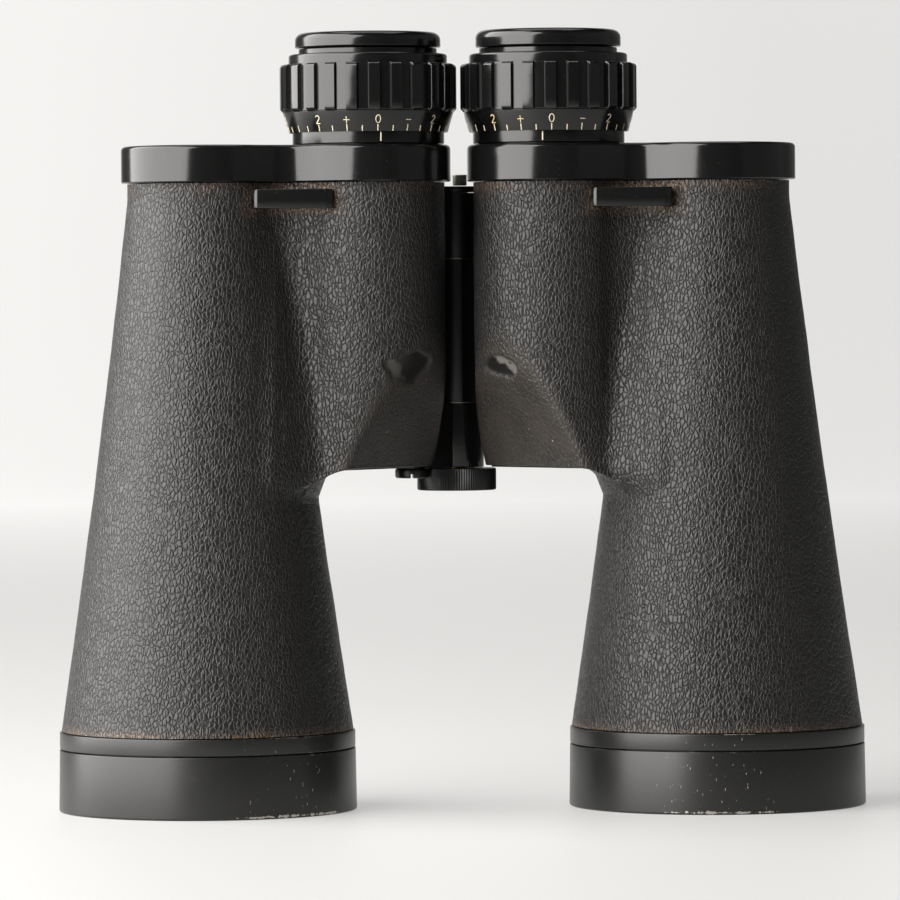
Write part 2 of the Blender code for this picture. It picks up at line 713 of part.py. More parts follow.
def build_cap(word, eye, base, tube_bore):
    """Eye cap with its dished recess, and the eye lens at the recess's foot."""
    start, top = base + CAP_START, base + CAP_TOP
    lens_bore = EYE_LENS_RADIUS + GAP
    spigot = tube_bore - GAP
    turned(
        word + "eye_cap",
        [
            (CAP_RADIUS - CAP_RIM, top),
            (CAP_RADIUS - CAP_EDGE, top),
            (CAP_RADIUS - CAP_EDGE * 0.3, top - CAP_EDGE * 0.3),
            (CAP_RADIUS, top - CAP_EDGE),
            (CAP_RADIUS, start),
            (spigot, start),
            (spigot, start - CAP_SPIGOT_DEPTH),
            (lens_bore, start - CAP_SPIGOT_DEPTH),
            (lens_bore, start),
        ],
        eye,
        SATIN_BLACK,
    )
    lens_top = start - GAP
    bulge = LENS_BULGE / 2
    faces = ((lens_top, lens_top - bulge), (lens_top - EYE_LENS_HEIGHT, lens_top - EYE_LENS_HEIGHT))
    lens(word + "eye_lens", EYE_LENS_RADIUS, faces, eye)


def build_hinge(hinge):
    """Axle, flange and button at the top; tripod socket, its knurled cap and a lock screw below."""
    socket_top = KNUCKLE_BOTTOM + SOCKET_DEPTH
    flange_bottom = KNUCKLE_TOP + GAP
    flange_top = flange_bottom + FLANGE_HEIGHT
    rod("hinge_axle", AXLE_RADIUS, socket_top + GAP, flange_top, hinge, BARE_STEEL)
    ring(
        "hinge_top_flange", KNUCKLE_RADIUS, AXLE_RADIUS + GAP, flange_bottom, flange_top,
        hinge, SATIN_BLACK,
    )
    button = flange_top + GAP
    aside = axis("button_axis", BUTTON_ASIDE, HINGE_Y)
    rod("hinge_axle_button", BUTTON_RADIUS, button, button + BUTTON_HEIGHT, aside, BARE_STEEL)
    bore = STUD_RADIUS + GAP
    ring("tripod_socket", SOCKET_RADIUS, bore, KNUCKLE_BOTTOM, socket_top, hinge, BRASS)
    knob_top = KNUCKLE_BOTTOM - GAP
    knob_bottom = knob_top - KNOB_HEIGHT
    knob_radius = KNUCKLE_RADIUS + KNOB_STEP
    rod(
        "tripod_cap_stud", STUD_RADIUS, knob_bottom + KNOB_EDGE, KNUCKLE_BOTTOM + STUD_REACH,
        hinge, BRASS,
    )
    turned(
        "tripod_cap_knob",
        [
            (knob_radius - KNOB_EDGE, knob_top),
            (knob_radius, knob_top - KNOB_EDGE),
            (knob_radius, knob_bottom + KNOB_EDGE),
            (knob_radius - KNOB_EDGE, knob_bottom),
            (bore, knob_bottom),
            (bore, knob_top),
        ],
        hinge,
        SATIN_BLACK,
    )
    reach = knob_radius + GAP + LOCK_SCREW_RADIUS
    lock_x = -reach * math.cos(LOCK_SCREW_BEARING)
    lock_y = -reach * math.sin(LOCK_SCREW_BEARING)
    lock = axis("lock_screw_axis", lock_x, lock_y, hinge)
    head_top = CASTING_FLOOR - GAP
    head_bottom = head_top - LOCK_SCREW_HEIGHT
    screw = rod("hinge_lock_screw", LOCK_SCREW_RADIUS, head_bottom, head_top, lock, SATIN_BLACK)
    half = LOCK_SLOT_WIDTH / 2
    long = LOCK_SCREW_RADIUS + OVERSHOOT
    outline = [(-half, -long), (half, -long), (half, long), (-half, long)]
    slot_top = head_bottom + LOCK_SLOT_DEPTH
    cut(screw, extruded("lock_slot", outline, head_bottom - OVERSHOOT, slot_top, lock))


def main():
    hinge = axis("hinge_axis", 0.0, HINGE_Y)
    build_hinge(hinge)
    for side, word in ((-1, "left_"), (1, "right_")):
        barrel = axis(word + "barrel_frame", 0.0, 0.0, hinge)
        objective = axis(word + "objective_axis", side * OBJECTIVE_U, -AXIS_SET_FORWARD, barrel)
        eye = axis(word + "eyepiece_axis", side * EYE_U, -AXIS_SET_FORWARD, barrel)
        frames = (barrel, objective, eye)
        build_body(side, word, frames)
        build_objective(word, objective)
        build_prisms(side, word, frames)
        build_eyepiece(side, word, eye)


for old in list(bpy.data.objects):
    bpy.data.objects.remove(old, do_unlink=True)
PARTS = collection("binoculars")
CUTTERS = collection("cutters")
main()
for part in PARTS.objects:
    if part.type == "MESH":
        part.data.shade_smooth()
        part.data.set_sharp_from_angle(angle=math.radians(30))
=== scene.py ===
"""Looks for the large individual-focus Porro binoculars. Units are metres.

Plan places are (outwards from the hinge, y), so that one set of outlines serves both sides.
"""

import json
import math

import bmesh
import bpy
import numpy as np
from mathutils import Matrix, Vector, noise


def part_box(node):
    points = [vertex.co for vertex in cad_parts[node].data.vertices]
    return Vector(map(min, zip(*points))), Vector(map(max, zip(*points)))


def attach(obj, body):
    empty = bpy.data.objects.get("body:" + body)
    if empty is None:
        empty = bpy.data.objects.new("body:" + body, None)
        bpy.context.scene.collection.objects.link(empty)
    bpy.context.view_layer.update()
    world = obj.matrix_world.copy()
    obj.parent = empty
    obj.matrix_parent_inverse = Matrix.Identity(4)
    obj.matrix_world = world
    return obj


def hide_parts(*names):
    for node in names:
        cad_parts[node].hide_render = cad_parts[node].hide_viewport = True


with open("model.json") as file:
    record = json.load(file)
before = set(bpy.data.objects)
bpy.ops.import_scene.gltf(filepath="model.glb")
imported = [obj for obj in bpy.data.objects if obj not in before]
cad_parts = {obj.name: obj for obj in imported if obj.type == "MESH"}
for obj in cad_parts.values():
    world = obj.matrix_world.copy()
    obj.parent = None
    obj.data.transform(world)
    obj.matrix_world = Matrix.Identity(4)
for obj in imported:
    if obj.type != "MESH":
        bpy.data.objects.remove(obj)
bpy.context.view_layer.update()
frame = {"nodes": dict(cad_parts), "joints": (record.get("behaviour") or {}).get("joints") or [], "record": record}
MM = 0.001
TAU = math.tau
JOINTS = {joint["name"]: joint for joint in frame["joints"]}
HINGE = Vector(JOINTS["interpupillary"]["pos_m"]).xy

# Clearance between hinge pieces, and between turned pieces that slide or screw together
GAP = 0.3 * MM
CLEARANCE = 0.3 * MM

# Sizes of the housings that the frame's boxes don't give
COVER_PROUD = 2.0 * MM
LEATHER = 0.8 * MM
BARREL_TOP_STEP = 0.6 * MM
BARREL_FLARE = 0.83 * MM
VALLEY_RADIUS = 14.0 * MM
CROTCH_RADIUS = 10.5 * MM
FLOOR_EDGE = 0.5 * MM
FACET_AZIMUTH = math.radians(40.7)
FACET_SLOPE = 2.3
FACET_REACH = 7.5 * MM
FACET_BLEND = 3.0 * MM
SEAM_BLEND_TOP = 3.0 * MM
SEAM_BLEND_FLOOR = 27.0 * MM
GOUGE_HEIGHT = 135.7 * MM

# Points round the cloth, and its rows up the barrel
ROUND_COUNT = 420
BARREL_ROWS = 72

# Width of a pebble of the cloth's grain, and how flattened the pattern is up the barrel
PEBBLE_WIDTH = 1.08 * MM
PEBBLE_SQUEEZE = 0.52

# Places on the hoods that were knocked, and how fast the marks thin out from them, per metre
KNOCKED_SPOTS = ((-49 * MM, -40 * MM, 9 * MM), (71 * MM, -48 * MM, 9 * MM))
KNOCK_FADE = 22.0


# ---------------------------------------------------------------- materials


def srgb(code):
    """An sRGB hex colour as linear RGBA."""
    parts = [int(code[i : i + 2], 16) / 255 for i in (0, 2, 4)]
    linear = [c / 12.92 if c <= 0.04045 else ((c + 0.055) / 1.055) ** 2.4 for c in parts]
    return (*linear, 1.0)


def add(tree, kind, inputs=None, **settings):
    """Adds a node. Settings are its properties; inputs are values, or sockets to link from."""
    made = tree.nodes.new(kind)
    for key, value in settings.items():
        setattr(made, key, value)
    for key, value in (inputs or {}).items():
        if isinstance(value, bpy.types.NodeSocket):
            tree.links.new(value, made.inputs[key])
        else:
            made.inputs[key].default_value = value
    return made


def start_material(name, **constants):
    """A Principled material, its tree, its shader and its Object coordinates."""
    material = bpy.data.materials.new(name)
    material.use_nodes = True
    tree = material.node_tree
    shader = tree.nodes["Principled BSDF"]
    for key, value in constants.items():
        shader.inputs[key.replace("_", " ")].default_value = value
    place = add(tree, "ShaderNodeTexCoord").outputs["Object"]
    return material, tree, shader, place


def ramp(tree, value, stops):
    """A colour ramp through (position, hex or grey) stops."""
    made = add(tree, "ShaderNodeValToRGB", {"Fac": value})
    elements = made.color_ramp.elements
    while len(elements) < len(stops):
        elements.new(0.5)
    for element, (position, colour) in zip(elements, stops):
        element.position = position
        element.color = srgb(colour) if isinstance(colour, str) else (colour, colour, colour, 1.0)
    return made.outputs["Color"]


def leathercloth():
    """Pebbled black leathercloth: vinyl-faced cloth pressed with a long morocco grain.

    The eye sees soft, dull pebbles about 1 mm wide and 2 mm tall, painted shade darkening the crease
    between them, a greyer, flatter grain where hands wore it, brown dirt, and pale patches at the
    gouges: bared metal, and on one gouge a painted highlight along its torn edge.
    """
    material, tree, shader, place = start_material("pebbled_leathercloth", IOR=1.47)
    worn, grime, torn, bared_and_highlight = (
        add(tree, "ShaderNodeAttribute", attribute_name=mark).outputs["Fac"]
        for mark in ("worn", "grime", "torn", "bared_and_highlight")
    )
    warp = add(tree, "ShaderNodeTexNoise", {"Vector": place, "Scale": 260.0, "Detail": 2.0})
    shift = add(
        tree, "ShaderNodeVectorMath",
        {0: warp.outputs["Color"], 1: (1.1 * MM, 1.1 * MM, 2.2 * MM)}, operation="MULTIPLY",
    )
    moved = add(tree, "ShaderNodeVectorMath", {0: place, 1: shift.outputs[0]}, operation="ADD")
    stretched = add(
        tree, "ShaderNodeMapping", {"Vector": moved.outputs[0], "Scale": (1.0, 1.0, PEBBLE_SQUEEZE)}
    )
    grain = stretched.outputs[0]
    pebble = add(
        tree, "ShaderNodeTexVoronoi", {"Vector": grain, "Scale": 1 / PEBBLE_WIDTH},
        feature="DISTANCE_TO_EDGE",
    )
    pebble_height = ramp(tree, pebble.outputs["Distance"], [(0.0, 0.0), (0.1, 0.6), (0.27, 1.0)])
    wrinkle = add(tree, "ShaderNodeTexNoise", {"Vector": grain, "Scale": 900.0, "Detail": 3.0})
    broad = add(tree, "ShaderNodeTexNoise", {"Vector": grain, "Scale": 300.0, "Detail": 2.0})
    wrinkled = add(
        tree, "ShaderNodeMath", {0: wrinkle.outputs["Fac"], 1: 0.9, 2: pebble_height},
        operation="MULTIPLY_ADD",
    )
    height = add(
        tree, "ShaderNodeMath", {0: broad.outputs["Fac"], 1: wrinkled.outputs[0]}, operation="ADD"
    )
    keep = add(
        tree, "ShaderNodeMath", {0: worn, 1: -0.4, 2: 1.0}, operation="MULTIPLY_ADD", use_clamp=True
    )
    flat = add(
        tree, "ShaderNodeMath", {0: torn, 1: -0.95, 2: keep.outputs[0]},
        operation="MULTIPLY_ADD", use_clamp=True,
    )
    relief = add(
        tree, "ShaderNodeMath", {0: height.outputs[0], 1: flat.outputs[0]}, operation="MULTIPLY"
    )
    bump = add(
        tree, "ShaderNodeBump", {"Height": relief.outputs[0], "Strength": 1.0, "Distance": 0.18 * MM}
    )
    patch = add(tree, "ShaderNodeTexNoise", {"Vector": place, "Scale": 42.0, "Detail": 4.0})
    rub = add(tree, "ShaderNodeMath", {0: worn, 1: 0.7}, operation="MULTIPLY")
    speckle = add(tree, "ShaderNodeTexNoise", {"Vector": place, "Scale": 1400.0, "Detail": 5.0})
    dirt_edge = ramp(tree, speckle.outputs["Fac"], [(0.42, 0.0), (0.6, 1.0)])
    dirt = add(tree, "ShaderNodeMath", {0: grime, 1: dirt_edge}, operation="MULTIPLY", use_clamp=True)
    fleck = add(tree, "ShaderNodeTexVoronoi", {"Vector": place, "Scale": 170.0, "Randomness": 1.0})
    fleck_dot = ramp(tree, fleck.outputs["Distance"], [(0.03, 1.0), (0.045, 0.0)])
    fleck_worn = add(tree, "ShaderNodeMath", {0: fleck_dot, 1: worn}, operation="MULTIPLY")
    # The colour darkens from the pebble tops down into the creases: painted shade in the creases
    colour = ramp(tree, pebble_height, [(0.0, "0e0d0d"), (0.4, "181716"), (1.0, "1b1a19")])
    layers = (
        (patch.outputs["Fac"], "191716"),  # an uneven black
        (rub.outputs[0], "37322d"),  # greyed by hands
        (dirt.outputs[0], "5e4a38"),  # brown dirt along the edges
        (torn, "100f0e"),  # the floor of the gouges
        (bared_and_highlight, "9a968f"),  # metal bared in them, and a painted highlight on the left gouge's torn edge
        (fleck_worn.outputs[0], "a49a8c"),  # pale flecks where it is worn
    )
    for share, shade in layers:
        colour = add(
            tree, "ShaderNodeMix", {0: share, 6: colour, 7: srgb(shade)}, data_type="RGBA"
        ).outputs[2]
    tree.links.new(colour, shader.inputs["Base Color"])
    sheen = ramp(tree, pebble_height, [(0.0, 0.52), (1.0, 0.34)])
    tree.links.new(sheen, shader.inputs["Roughness"])
    tree.links.new(bump.outputs["Normal"], shader.inputs["Normal"])
    return material


def enamel(name, colour, roughness, scratch, chips=(), texture=0.004 * MM):
    """Stoved enamel on light alloy, IOR 1.5: a smooth black skin with hairline scratches.

    The eye sees sharp or satin reflections by its roughness, faint cross-wise scratches and a
    little dust. Each (low, high, amount) in chips is a band of height flaked to bare metal, most
    of it near the knocked spots, where pale scuffs show as well. Texture is the ripple's depth.
    """
    material, tree, shader, place = start_material(name, IOR=1.5)
    lines = add(
        tree, "ShaderNodeMapping",
        {"Vector": place, "Rotation": (0.5, 0.9, 0.4), "Scale": (60.0, 2600.0, 700.0)},
    )
    hair = add(tree, "ShaderNodeTexNoise", {"Vector": lines.outputs[0], "Scale": 1.0, "Detail": 3.0})
    scratched = ramp(tree, hair.outputs["Fac"], [(0.62, 0.0), (0.74, 1.0)])
    cloud = add(tree, "ShaderNodeTexNoise", {"Vector": place, "Scale": 55.0, "Detail": 5.0})
    uneven = add(
        tree, "ShaderNodeMath", {0: cloud.outputs["Fac"], 1: scratch, 2: roughness - scratch * 0.5},
        operation="MULTIPLY_ADD",
    )
    rough = add(
        tree, "ShaderNodeMath", {0: scratched, 1: scratch, 2: uneven.outputs[0]},
        operation="MULTIPLY_ADD",
    )
    grit = add(tree, "ShaderNodeTexNoise", {"Vector": place, "Scale": 2300.0, "Detail": 3.0})
    dust = ramp(tree, grit.outputs["Fac"], [(0.69, 0.0), (0.74, 1.0)])
    tone = add(
        tree, "ShaderNodeMix", {0: dust, 6: srgb(colour), 7: srgb("3a3835")}, data_type="RGBA"
    )
    coat = tone.outputs[2]
    if chips:
        coat = chipped(tree, shader, place, coat, chips)
    tree.links.new(coat, shader.inputs["Base Color"])
    tree.links.new(rough.outputs[0], shader.inputs["Roughness"])
    ripple = add(tree, "ShaderNodeTexNoise", {"Vector": place, "Scale": 420.0, "Detail": 2.0})
    bump = add(
        tree, "ShaderNodeBump", {"Height": ripple.outputs["Fac"], "Strength": 1.0, "Distance": texture}
    )
    tree.links.new(bump.outputs["Normal"], shader.inputs["Normal"])
    return material


def chipped(tree, shader, place, coat, chips):
    """The coat with scuffs near the knocked spots and bare metal in the bands of chips."""
    cluster = add(tree, "ShaderNodeTexNoise", {"Vector": place, "Scale": 60.0, "Detail": 1.0})
    left, right = (
        add(tree, "ShaderNodeVectorMath", {0: place, 1: spot}, operation="DISTANCE").outputs["Value"]
        for spot in KNOCKED_SPOTS
    )
    nearest = add(tree, "ShaderNodeMath", {0: left, 1: right}, operation="MINIMUM")
    knocked = add(
        tree, "ShaderNodeMath", {0: nearest.outputs[0], 1: -KNOCK_FADE, 2: cluster.outputs["Fac"]},
        operation="MULTIPLY_ADD",
    ).outputs[0]
    clustered = ramp(tree, knocked, [(0.0, 0.3), (0.16, 1.0)])
    along_scuffs = add(
        tree, "ShaderNodeMapping",
        {"Vector": place, "Rotation": (0.3, 0.5, 0.2), "Scale": (900.0, 900.0, 170.0)},
    )
    scuff = add(
        tree, "ShaderNodeTexNoise", {"Vector": along_scuffs.outputs[0], "Scale": 3.0, "Detail": 1.0}
    )
    sharp = ramp(tree, scuff.outputs["Fac"], [(0.745, 0.0), (0.76, 1.0)])
    near_spot = ramp(tree, knocked, [(0.0, 0.0), (0.2, 1.0)])
    scuffed = add(tree, "ShaderNodeMath", {0: sharp, 1: near_spot}, operation="MULTIPLY")
    flake = add(
        tree, "ShaderNodeTexNoise",
        {"Vector": place, "Scale": 480.0, "Detail": 6.0, "Roughness": 0.68},
    )
    heights = add(tree, "ShaderNodeSeparateXYZ", {"Vector": place}).outputs["Z"]
    bare = 0.0
    for low, high, amount in chips:
        off = add(tree, "ShaderNodeMath", {0: heights, 1: (low + high) / 2}, operation="SUBTRACT")
        span = add(tree, "ShaderNodeMath", {0: off.outputs[0]}, operation="ABSOLUTE")
        near = add(
            tree, "ShaderNodeMapRange",
            {0: span.outputs[0], 1: (high - low) / 2, 2: 0.0, 3: 0.0, 4: amount},
        )
        both = add(
            tree, "ShaderNodeMath", {0: near.outputs[0], 1: clustered, 2: flake.outputs["Fac"]},
            operation="MULTIPLY_ADD",
        )
        gone = ramp(tree, both.outputs[0], [(0.86, 0.0), (0.88, 1.0)])
        bare = add(tree, "ShaderNodeMath", {0: bare, 1: gone}, operation="MAXIMUM").outputs[0]
    for share, shade in ((scuffed.outputs[0], "b3ada4"), (bare, "b9b4ac")):
        coat = add(
            tree, "ShaderNodeMix", {0: share, 6: coat, 7: srgb(shade)}, data_type="RGBA"
        ).outputs[2]
    tree.links.new(bare, shader.inputs["Metallic"])
    return coat


def metal(name, colour, roughness, stain):
    """Bare turned metal: turning marks about 0.1 mm apart and darker, duller stained patches."""
    material, tree, shader, place = start_material(name, Metallic=1.0)
    marks = add(tree, "ShaderNodeMapping", {"Vector": place, "Scale": (300.0, 300.0, 9000.0)})
    ridges = add(tree, "ShaderNodeTexNoise", {"Vector": marks.outputs[0], "Scale": 1.0, "Detail": 2.0})
    cloud = add(tree, "ShaderNodeTexNoise", {"Vector": place, "Scale": 380.0, "Detail": 5.0})
    patches = ramp(tree, cloud.outputs["Fac"], [(0.38, 0.0), (0.62, 1.0)])
    tone = add(tree, "ShaderNodeMix", {0: patches, 6: srgb(stain), 7: srgb(colour)}, data_type="RGBA")
    tree.links.new(tone.outputs[2], shader.inputs["Base Color"])
    rough = add(
        tree, "ShaderNodeMapRange", {0: cloud.outputs["Fac"], 3: roughness + 0.12, 4: roughness - 0.05}
    )
    tree.links.new(rough.outputs[0], shader.inputs["Roughness"])
    bump = add(tree, "ShaderNodeBump", {"Height": ridges.outputs["Fac"], "Distance": 0.01 * MM})
    tree.links.new(bump.outputs["Normal"], shader.inputs["Normal"])
    return material


def glass(name, ior, film):
    """Polished optical glass: clear, with a faint coloured reflection where it carries a coating."""
    material, tree, shader, place = start_material(name, IOR=ior, Transmission_Weight=1.0)
    shader.inputs["Base Color"].default_value = srgb("f2f6f3")
    shader.inputs["Thin Film Thickness"].default_value = film
    shader.inputs["Thin Film IOR"].default_value = 1.38
    dust = add(tree, "ShaderNodeTexNoise", {"Vector": place, "Scale": 900.0, "Detail": 4.0})
    rough = ramp(tree, dust.outputs["Fac"], [(0.6, 0.0), (0.8, 0.12)])
    tree.links.new(rough, shader.inputs["Roughness"])
    return material


def scale_paint(name, colour):
    """Cream oil paint wiped into the engraving: matt, a little uneven and yellowed."""
    material, tree, shader, place = start_material(name, Roughness=0.6)
    cloud = add(tree, "ShaderNodeTexNoise", {"Vector": place, "Scale": 1500.0, "Detail": 3.0})
    tone = add(
        tree, "ShaderNodeMix", {0: cloud.outputs["Fac"], 6: srgb("a08e68"), 7: srgb(colour)},
        data_type="RGBA",
    )
    tree.links.new(tone.outputs[2], shader.inputs["Base Color"])
    return material


LOOKS = {
    "leatherette": leathercloth(),
    "black_enamel": enamel("gloss_stoved_enamel", "0f0f0f", 0.16, 0.08),
    "satin_black": enamel("satin_stoved_enamel", "0a0a0a", 0.36, 0.1),
    "hood": enamel(
        "satin_hood_enamel", "151514", 0.32, 0.12,
        chips=(
            (-0.5 * MM, 1.9 * MM, 0.44), (17.8 * MM, 19.5 * MM, 0.32), (23.2 * MM, 24.7 * MM, 0.42),
        ),
    ),
    "casting": enamel("casting_paint", "0c0b0b", 0.3, 0.1, texture=0.03 * MM),
    "matt_black": enamel("matt_black_anodising", "121212", 0.68, 0.1),
    "engraved_black": enamel("engraved_ring_enamel", "080808", 0.17, 0.08),
    "bare_steel": metal("dulled_bare_steel", "8d8c7c", 0.42, "5f5d50"),
    "worn_edge": metal("rubbed_steel", "b4b1a8", 0.35, "7d7a72"),
    "pale_steel": metal("zinc_plated_steel", "b9bbae", 0.5, "8f9183"),
    # Near-black steel for the prism adjusting screws: painted shade of the dark holes they sit in
    "sunk_screw": metal("near_black_steel_painted_shade", "343331", 0.55, "1c1b1a"),
    "brass": metal("turned_brass", "c9a154", 0.3, "8f6f35"),
    "lens_glass": glass("coated_lens_glass", 1.52, 105.0),
    "prism_glass": glass("polished_prism_glass", 1.57, 0.0),
}
CREAM = scale_paint("cream_scale_paint", "ece3cc")
YELLOWED = scale_paint("yellowed_scale_paint", "e6cf94")


# ---------------------------------------------------------------- mesh tools


def piece(name, mesh, body, slot, nodes=(), look=None):
    """Links a finished mesh: it rides on a body, takes a slot's finish and stands for CAD nodes."""
    obj = bpy.data.objects.new(name, mesh)
    bpy.context.scene.collection.objects.link(obj)
    if not any(mesh.materials):
        mesh.materials.clear()
        mesh.materials.append(look or LOOKS[slot])
    mesh.shade_smooth()
    mesh.set_sharp_from_angle(angle=math.radians(38))
    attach(obj, body)
    if nodes:
        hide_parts(*nodes)
    return obj


def merge_doubles(mesh):
    """Merges points that lie together, which closes poles and seams."""
    bm = bmesh.new()
    bm.from_mesh(mesh)
    bmesh.ops.remove_doubles(bm, verts=bm.verts, dist=1e-6)
    bm.to_mesh(mesh)
    bm.free()


def made_from(bm, name):
    """The bmesh as a new mesh."""
    mesh = bpy.data.meshes.new(name)
    bm.to_mesh(mesh)
    bm.free()
    return mesh


def skin(name, rows, closed=True, merge=False):
    """A mesh through rows of points, each row a closed ring. Closed joins the last row to the first.

    Faces point outwards: a closed mesh whose signed volume is negative is turned round.
    """
    rows = np.asarray(rows, float)
    count, around = rows.shape[:2]
    points = rows.reshape(-1, 3)
    row = np.arange(count if closed else count - 1)[:, None]
    column = np.arange(around)[None, :]
    below, above = row * around, (row + 1) % count * around
    after = (column + 1) % around
    corners = [below + column, below + after, above + after, above + column]
    quads = np.stack(corners, -1).reshape(-1, 4)
    a, b, c, d = (points[quads[:, i]] for i in range(4))
    volume = np.einsum("ij,ij->", a, np.cross(b, c) + np.cross(c, d))
    if volume < 0:
        quads = quads[:, ::-1]
    mesh = bpy.data.meshes.new(name)
    mesh.from_pydata(points.tolist(), [], quads.tolist())
    if merge:
        merge_doubles(mesh)
    return mesh


def softened(profile, radius, steps=4):
    """A closed (radius, height) profile with its corners rounded; points on the axis stay sharp."""
    points = [Vector(p) for p in profile]
    made = []
    for i, corner in enumerate(points):
        before, after = points[i - 1], points[(i + 1) % len(points)]
        if corner.x < 1e-9 or not radius:
            made.append(corner)
            continue
        reach = min(radius, (before - corner).length * 0.45, (after - corner).length * 0.45)
        start = corner + (before - corner).normalized() * reach
        end = corner + (after - corner).normalized() * reach
        for k in range(steps + 1):
            t = k / steps
            made.append(start * (1 - t) ** 2 + corner * (2 * t * (1 - t)) + end * t * t)
    return made


def spun(profile, centre, around):
    """Rows of points, one ring for each (radius, height) of a profile spun about an upright axis."""
    ring = np.array(profile)
    angle = np.linspace(0, TAU, around, endpoint=False)
    rows = np.empty((len(ring), around, 3))
    rows[..., 0] = centre[0] + ring[:, :1] * np.cos(angle)
    rows[..., 1] = centre[1] + ring[:, :1] * np.sin(angle)
    rows[..., 2] = ring[:, 1:]
    return rows


def turned(name, centre, profile, radius=0.2 * MM, around=180):
    """A turned piece about a vertical axis, its corners rounded by radius."""
    rows = spun(softened(profile, radius), centre, around)
    return skin(name, rows, merge=min(p[0] for p in profile) < 1e-9)


def tube(name, centre, outer, inner, low, high, radius, around=128):
    """A plain turned ring between two heights."""
    profile = [(outer, high), (outer, low), (inner, low), (inner, high)]
    return turned(name, centre, profile, radius, around)


def disc(name, centre, outer, low, high, radius, around):
    """A plain turned disc between two heights."""
    profile = [(0.0, high), (outer, high), (outer, low), (0.0, low)]
    return turned(name, centre, profile, radius, around)


def block(name, place, size):
    """A box of a size in x, y and z about a place."""
    bm = bmesh.new()
    shape = Matrix.Translation(place) @ Matrix.Diagonal((*size, 1.0))
    bmesh.ops.create_cube(bm, size=1.0, matrix=shape)
    return made_from(bm, name)


def strip(name, columns):
    """One pitch of a ring: a sheet through columns of points, each column a closed loop."""
    size = len(columns[0])
    faces = [
        (i * size + k, (i + 1) * size + k, (i + 1) * size + (k + 1) % size, i * size + (k + 1) % size)
        for i in range(len(columns) - 1) for k in range(size)
    ]
    mesh = bpy.data.meshes.new(name)
    mesh.from_pydata([point for column in columns for point in column], [], faces)
    return mesh


def evaluated(obj):
    """The object's mesh with its modifiers applied; the object itself is removed."""
    graph = bpy.context.evaluated_depsgraph_get()
    mesh = bpy.data.meshes.new_from_object(obj.evaluated_get(graph))
    mesh.name = obj.name
    bpy.data.objects.remove(obj)
    return mesh


def boolean(mesh, others, operation):
    """The mesh joined with, or cut by, other closed meshes."""
    obj = bpy.data.objects.new(mesh.name, mesh)
    bpy.context.scene.collection.objects.link(obj)
    helpers = []
    for other in others:
        helper = bpy.data.objects.new(other.name, other)
        bpy.context.scene.collection.objects.link(helper)
        helpers.append(helper)
        modifier = obj.modifiers.new(other.name, "BOOLEAN")
        modifier.object = helper
        modifier.operation = operation
        modifier.solver = "MANIFOLD"
    made = evaluated(obj)
    for helper in helpers:
        bpy.data.objects.remove(helper)
    return made


def copies_tree():
    """Geometry Nodes: copies of a part set round a vertical axis, welded where they meet."""
    tree = bpy.data.node_groups.new("copies_round_an_axis", "GeometryNodeTree")
    sockets = {
        "Part": "Geometry", "Count": "Int", "Step": "Float", "First": "Float", "Axis": "Vector",
        "Weld": "Float", "Finish": "Material",
    }
    for name, kind in sockets.items():
        tree.interface.new_socket(name, in_out="INPUT", socket_type="NodeSocket" + kind)
    tree.interface.new_socket("Geometry", in_out="OUTPUT", socket_type="NodeSocketGeometry")
    given = add(tree, "NodeGroupInput").outputs
    number = add(tree, "GeometryNodeInputIndex").outputs[0]
    angle = add(
        tree, "ShaderNodeMath", {0: number, 1: given["Step"], 2: given["First"]},
        operation="MULTIPLY_ADD",
    )
    turn = add(tree, "ShaderNodeCombineXYZ", {"Z": angle.outputs[0]})
    points = add(tree, "GeometryNodePoints", {"Count": given["Count"], "Position": given["Axis"]})
    copies = add(
        tree, "GeometryNodeInstanceOnPoints",
        {"Points": points.outputs[0], "Instance": given["Part"], "Rotation": turn.outputs[0]},
    )
    real = add(tree, "GeometryNodeRealizeInstances", {"Geometry": copies.outputs[0]})
    welded = add(
        tree, "GeometryNodeMergeByDistance", {"Geometry": real.outputs[0], "Distance": given["Weld"]}
    )
    painted = add(
        tree, "GeometryNodeSetMaterial", {"Geometry": welded.outputs[0], "Material": given["Finish"]}
    )
    add(tree, "NodeGroupOutput", {0: painted.outputs[0]})
    return tree


COPIES = copies_tree()


def copied_round(part, count, step, first, axis, finish, weld=1e-6):
    """A mesh of copies of part, turned by step from first about the vertical line through axis."""
    obj = bpy.data.objects.new(part.name, part)
    bpy.context.scene.collection.objects.link(obj)
    modifier = obj.modifiers.new("Copies", "NODES")
    modifier.node_group = COPIES
    values = {
        "Count": count, "Step": step, "First": first, "Axis": axis, "Weld": weld, "Finish": finish,
    }
    for item in COPIES.interface.items_tree:
        if item.in_out == "INPUT" and item.name in values:
            modifier[item.identifier] = values[item.name]
    return evaluated(obj)


# ---------------------------------------------------------------- the two sides


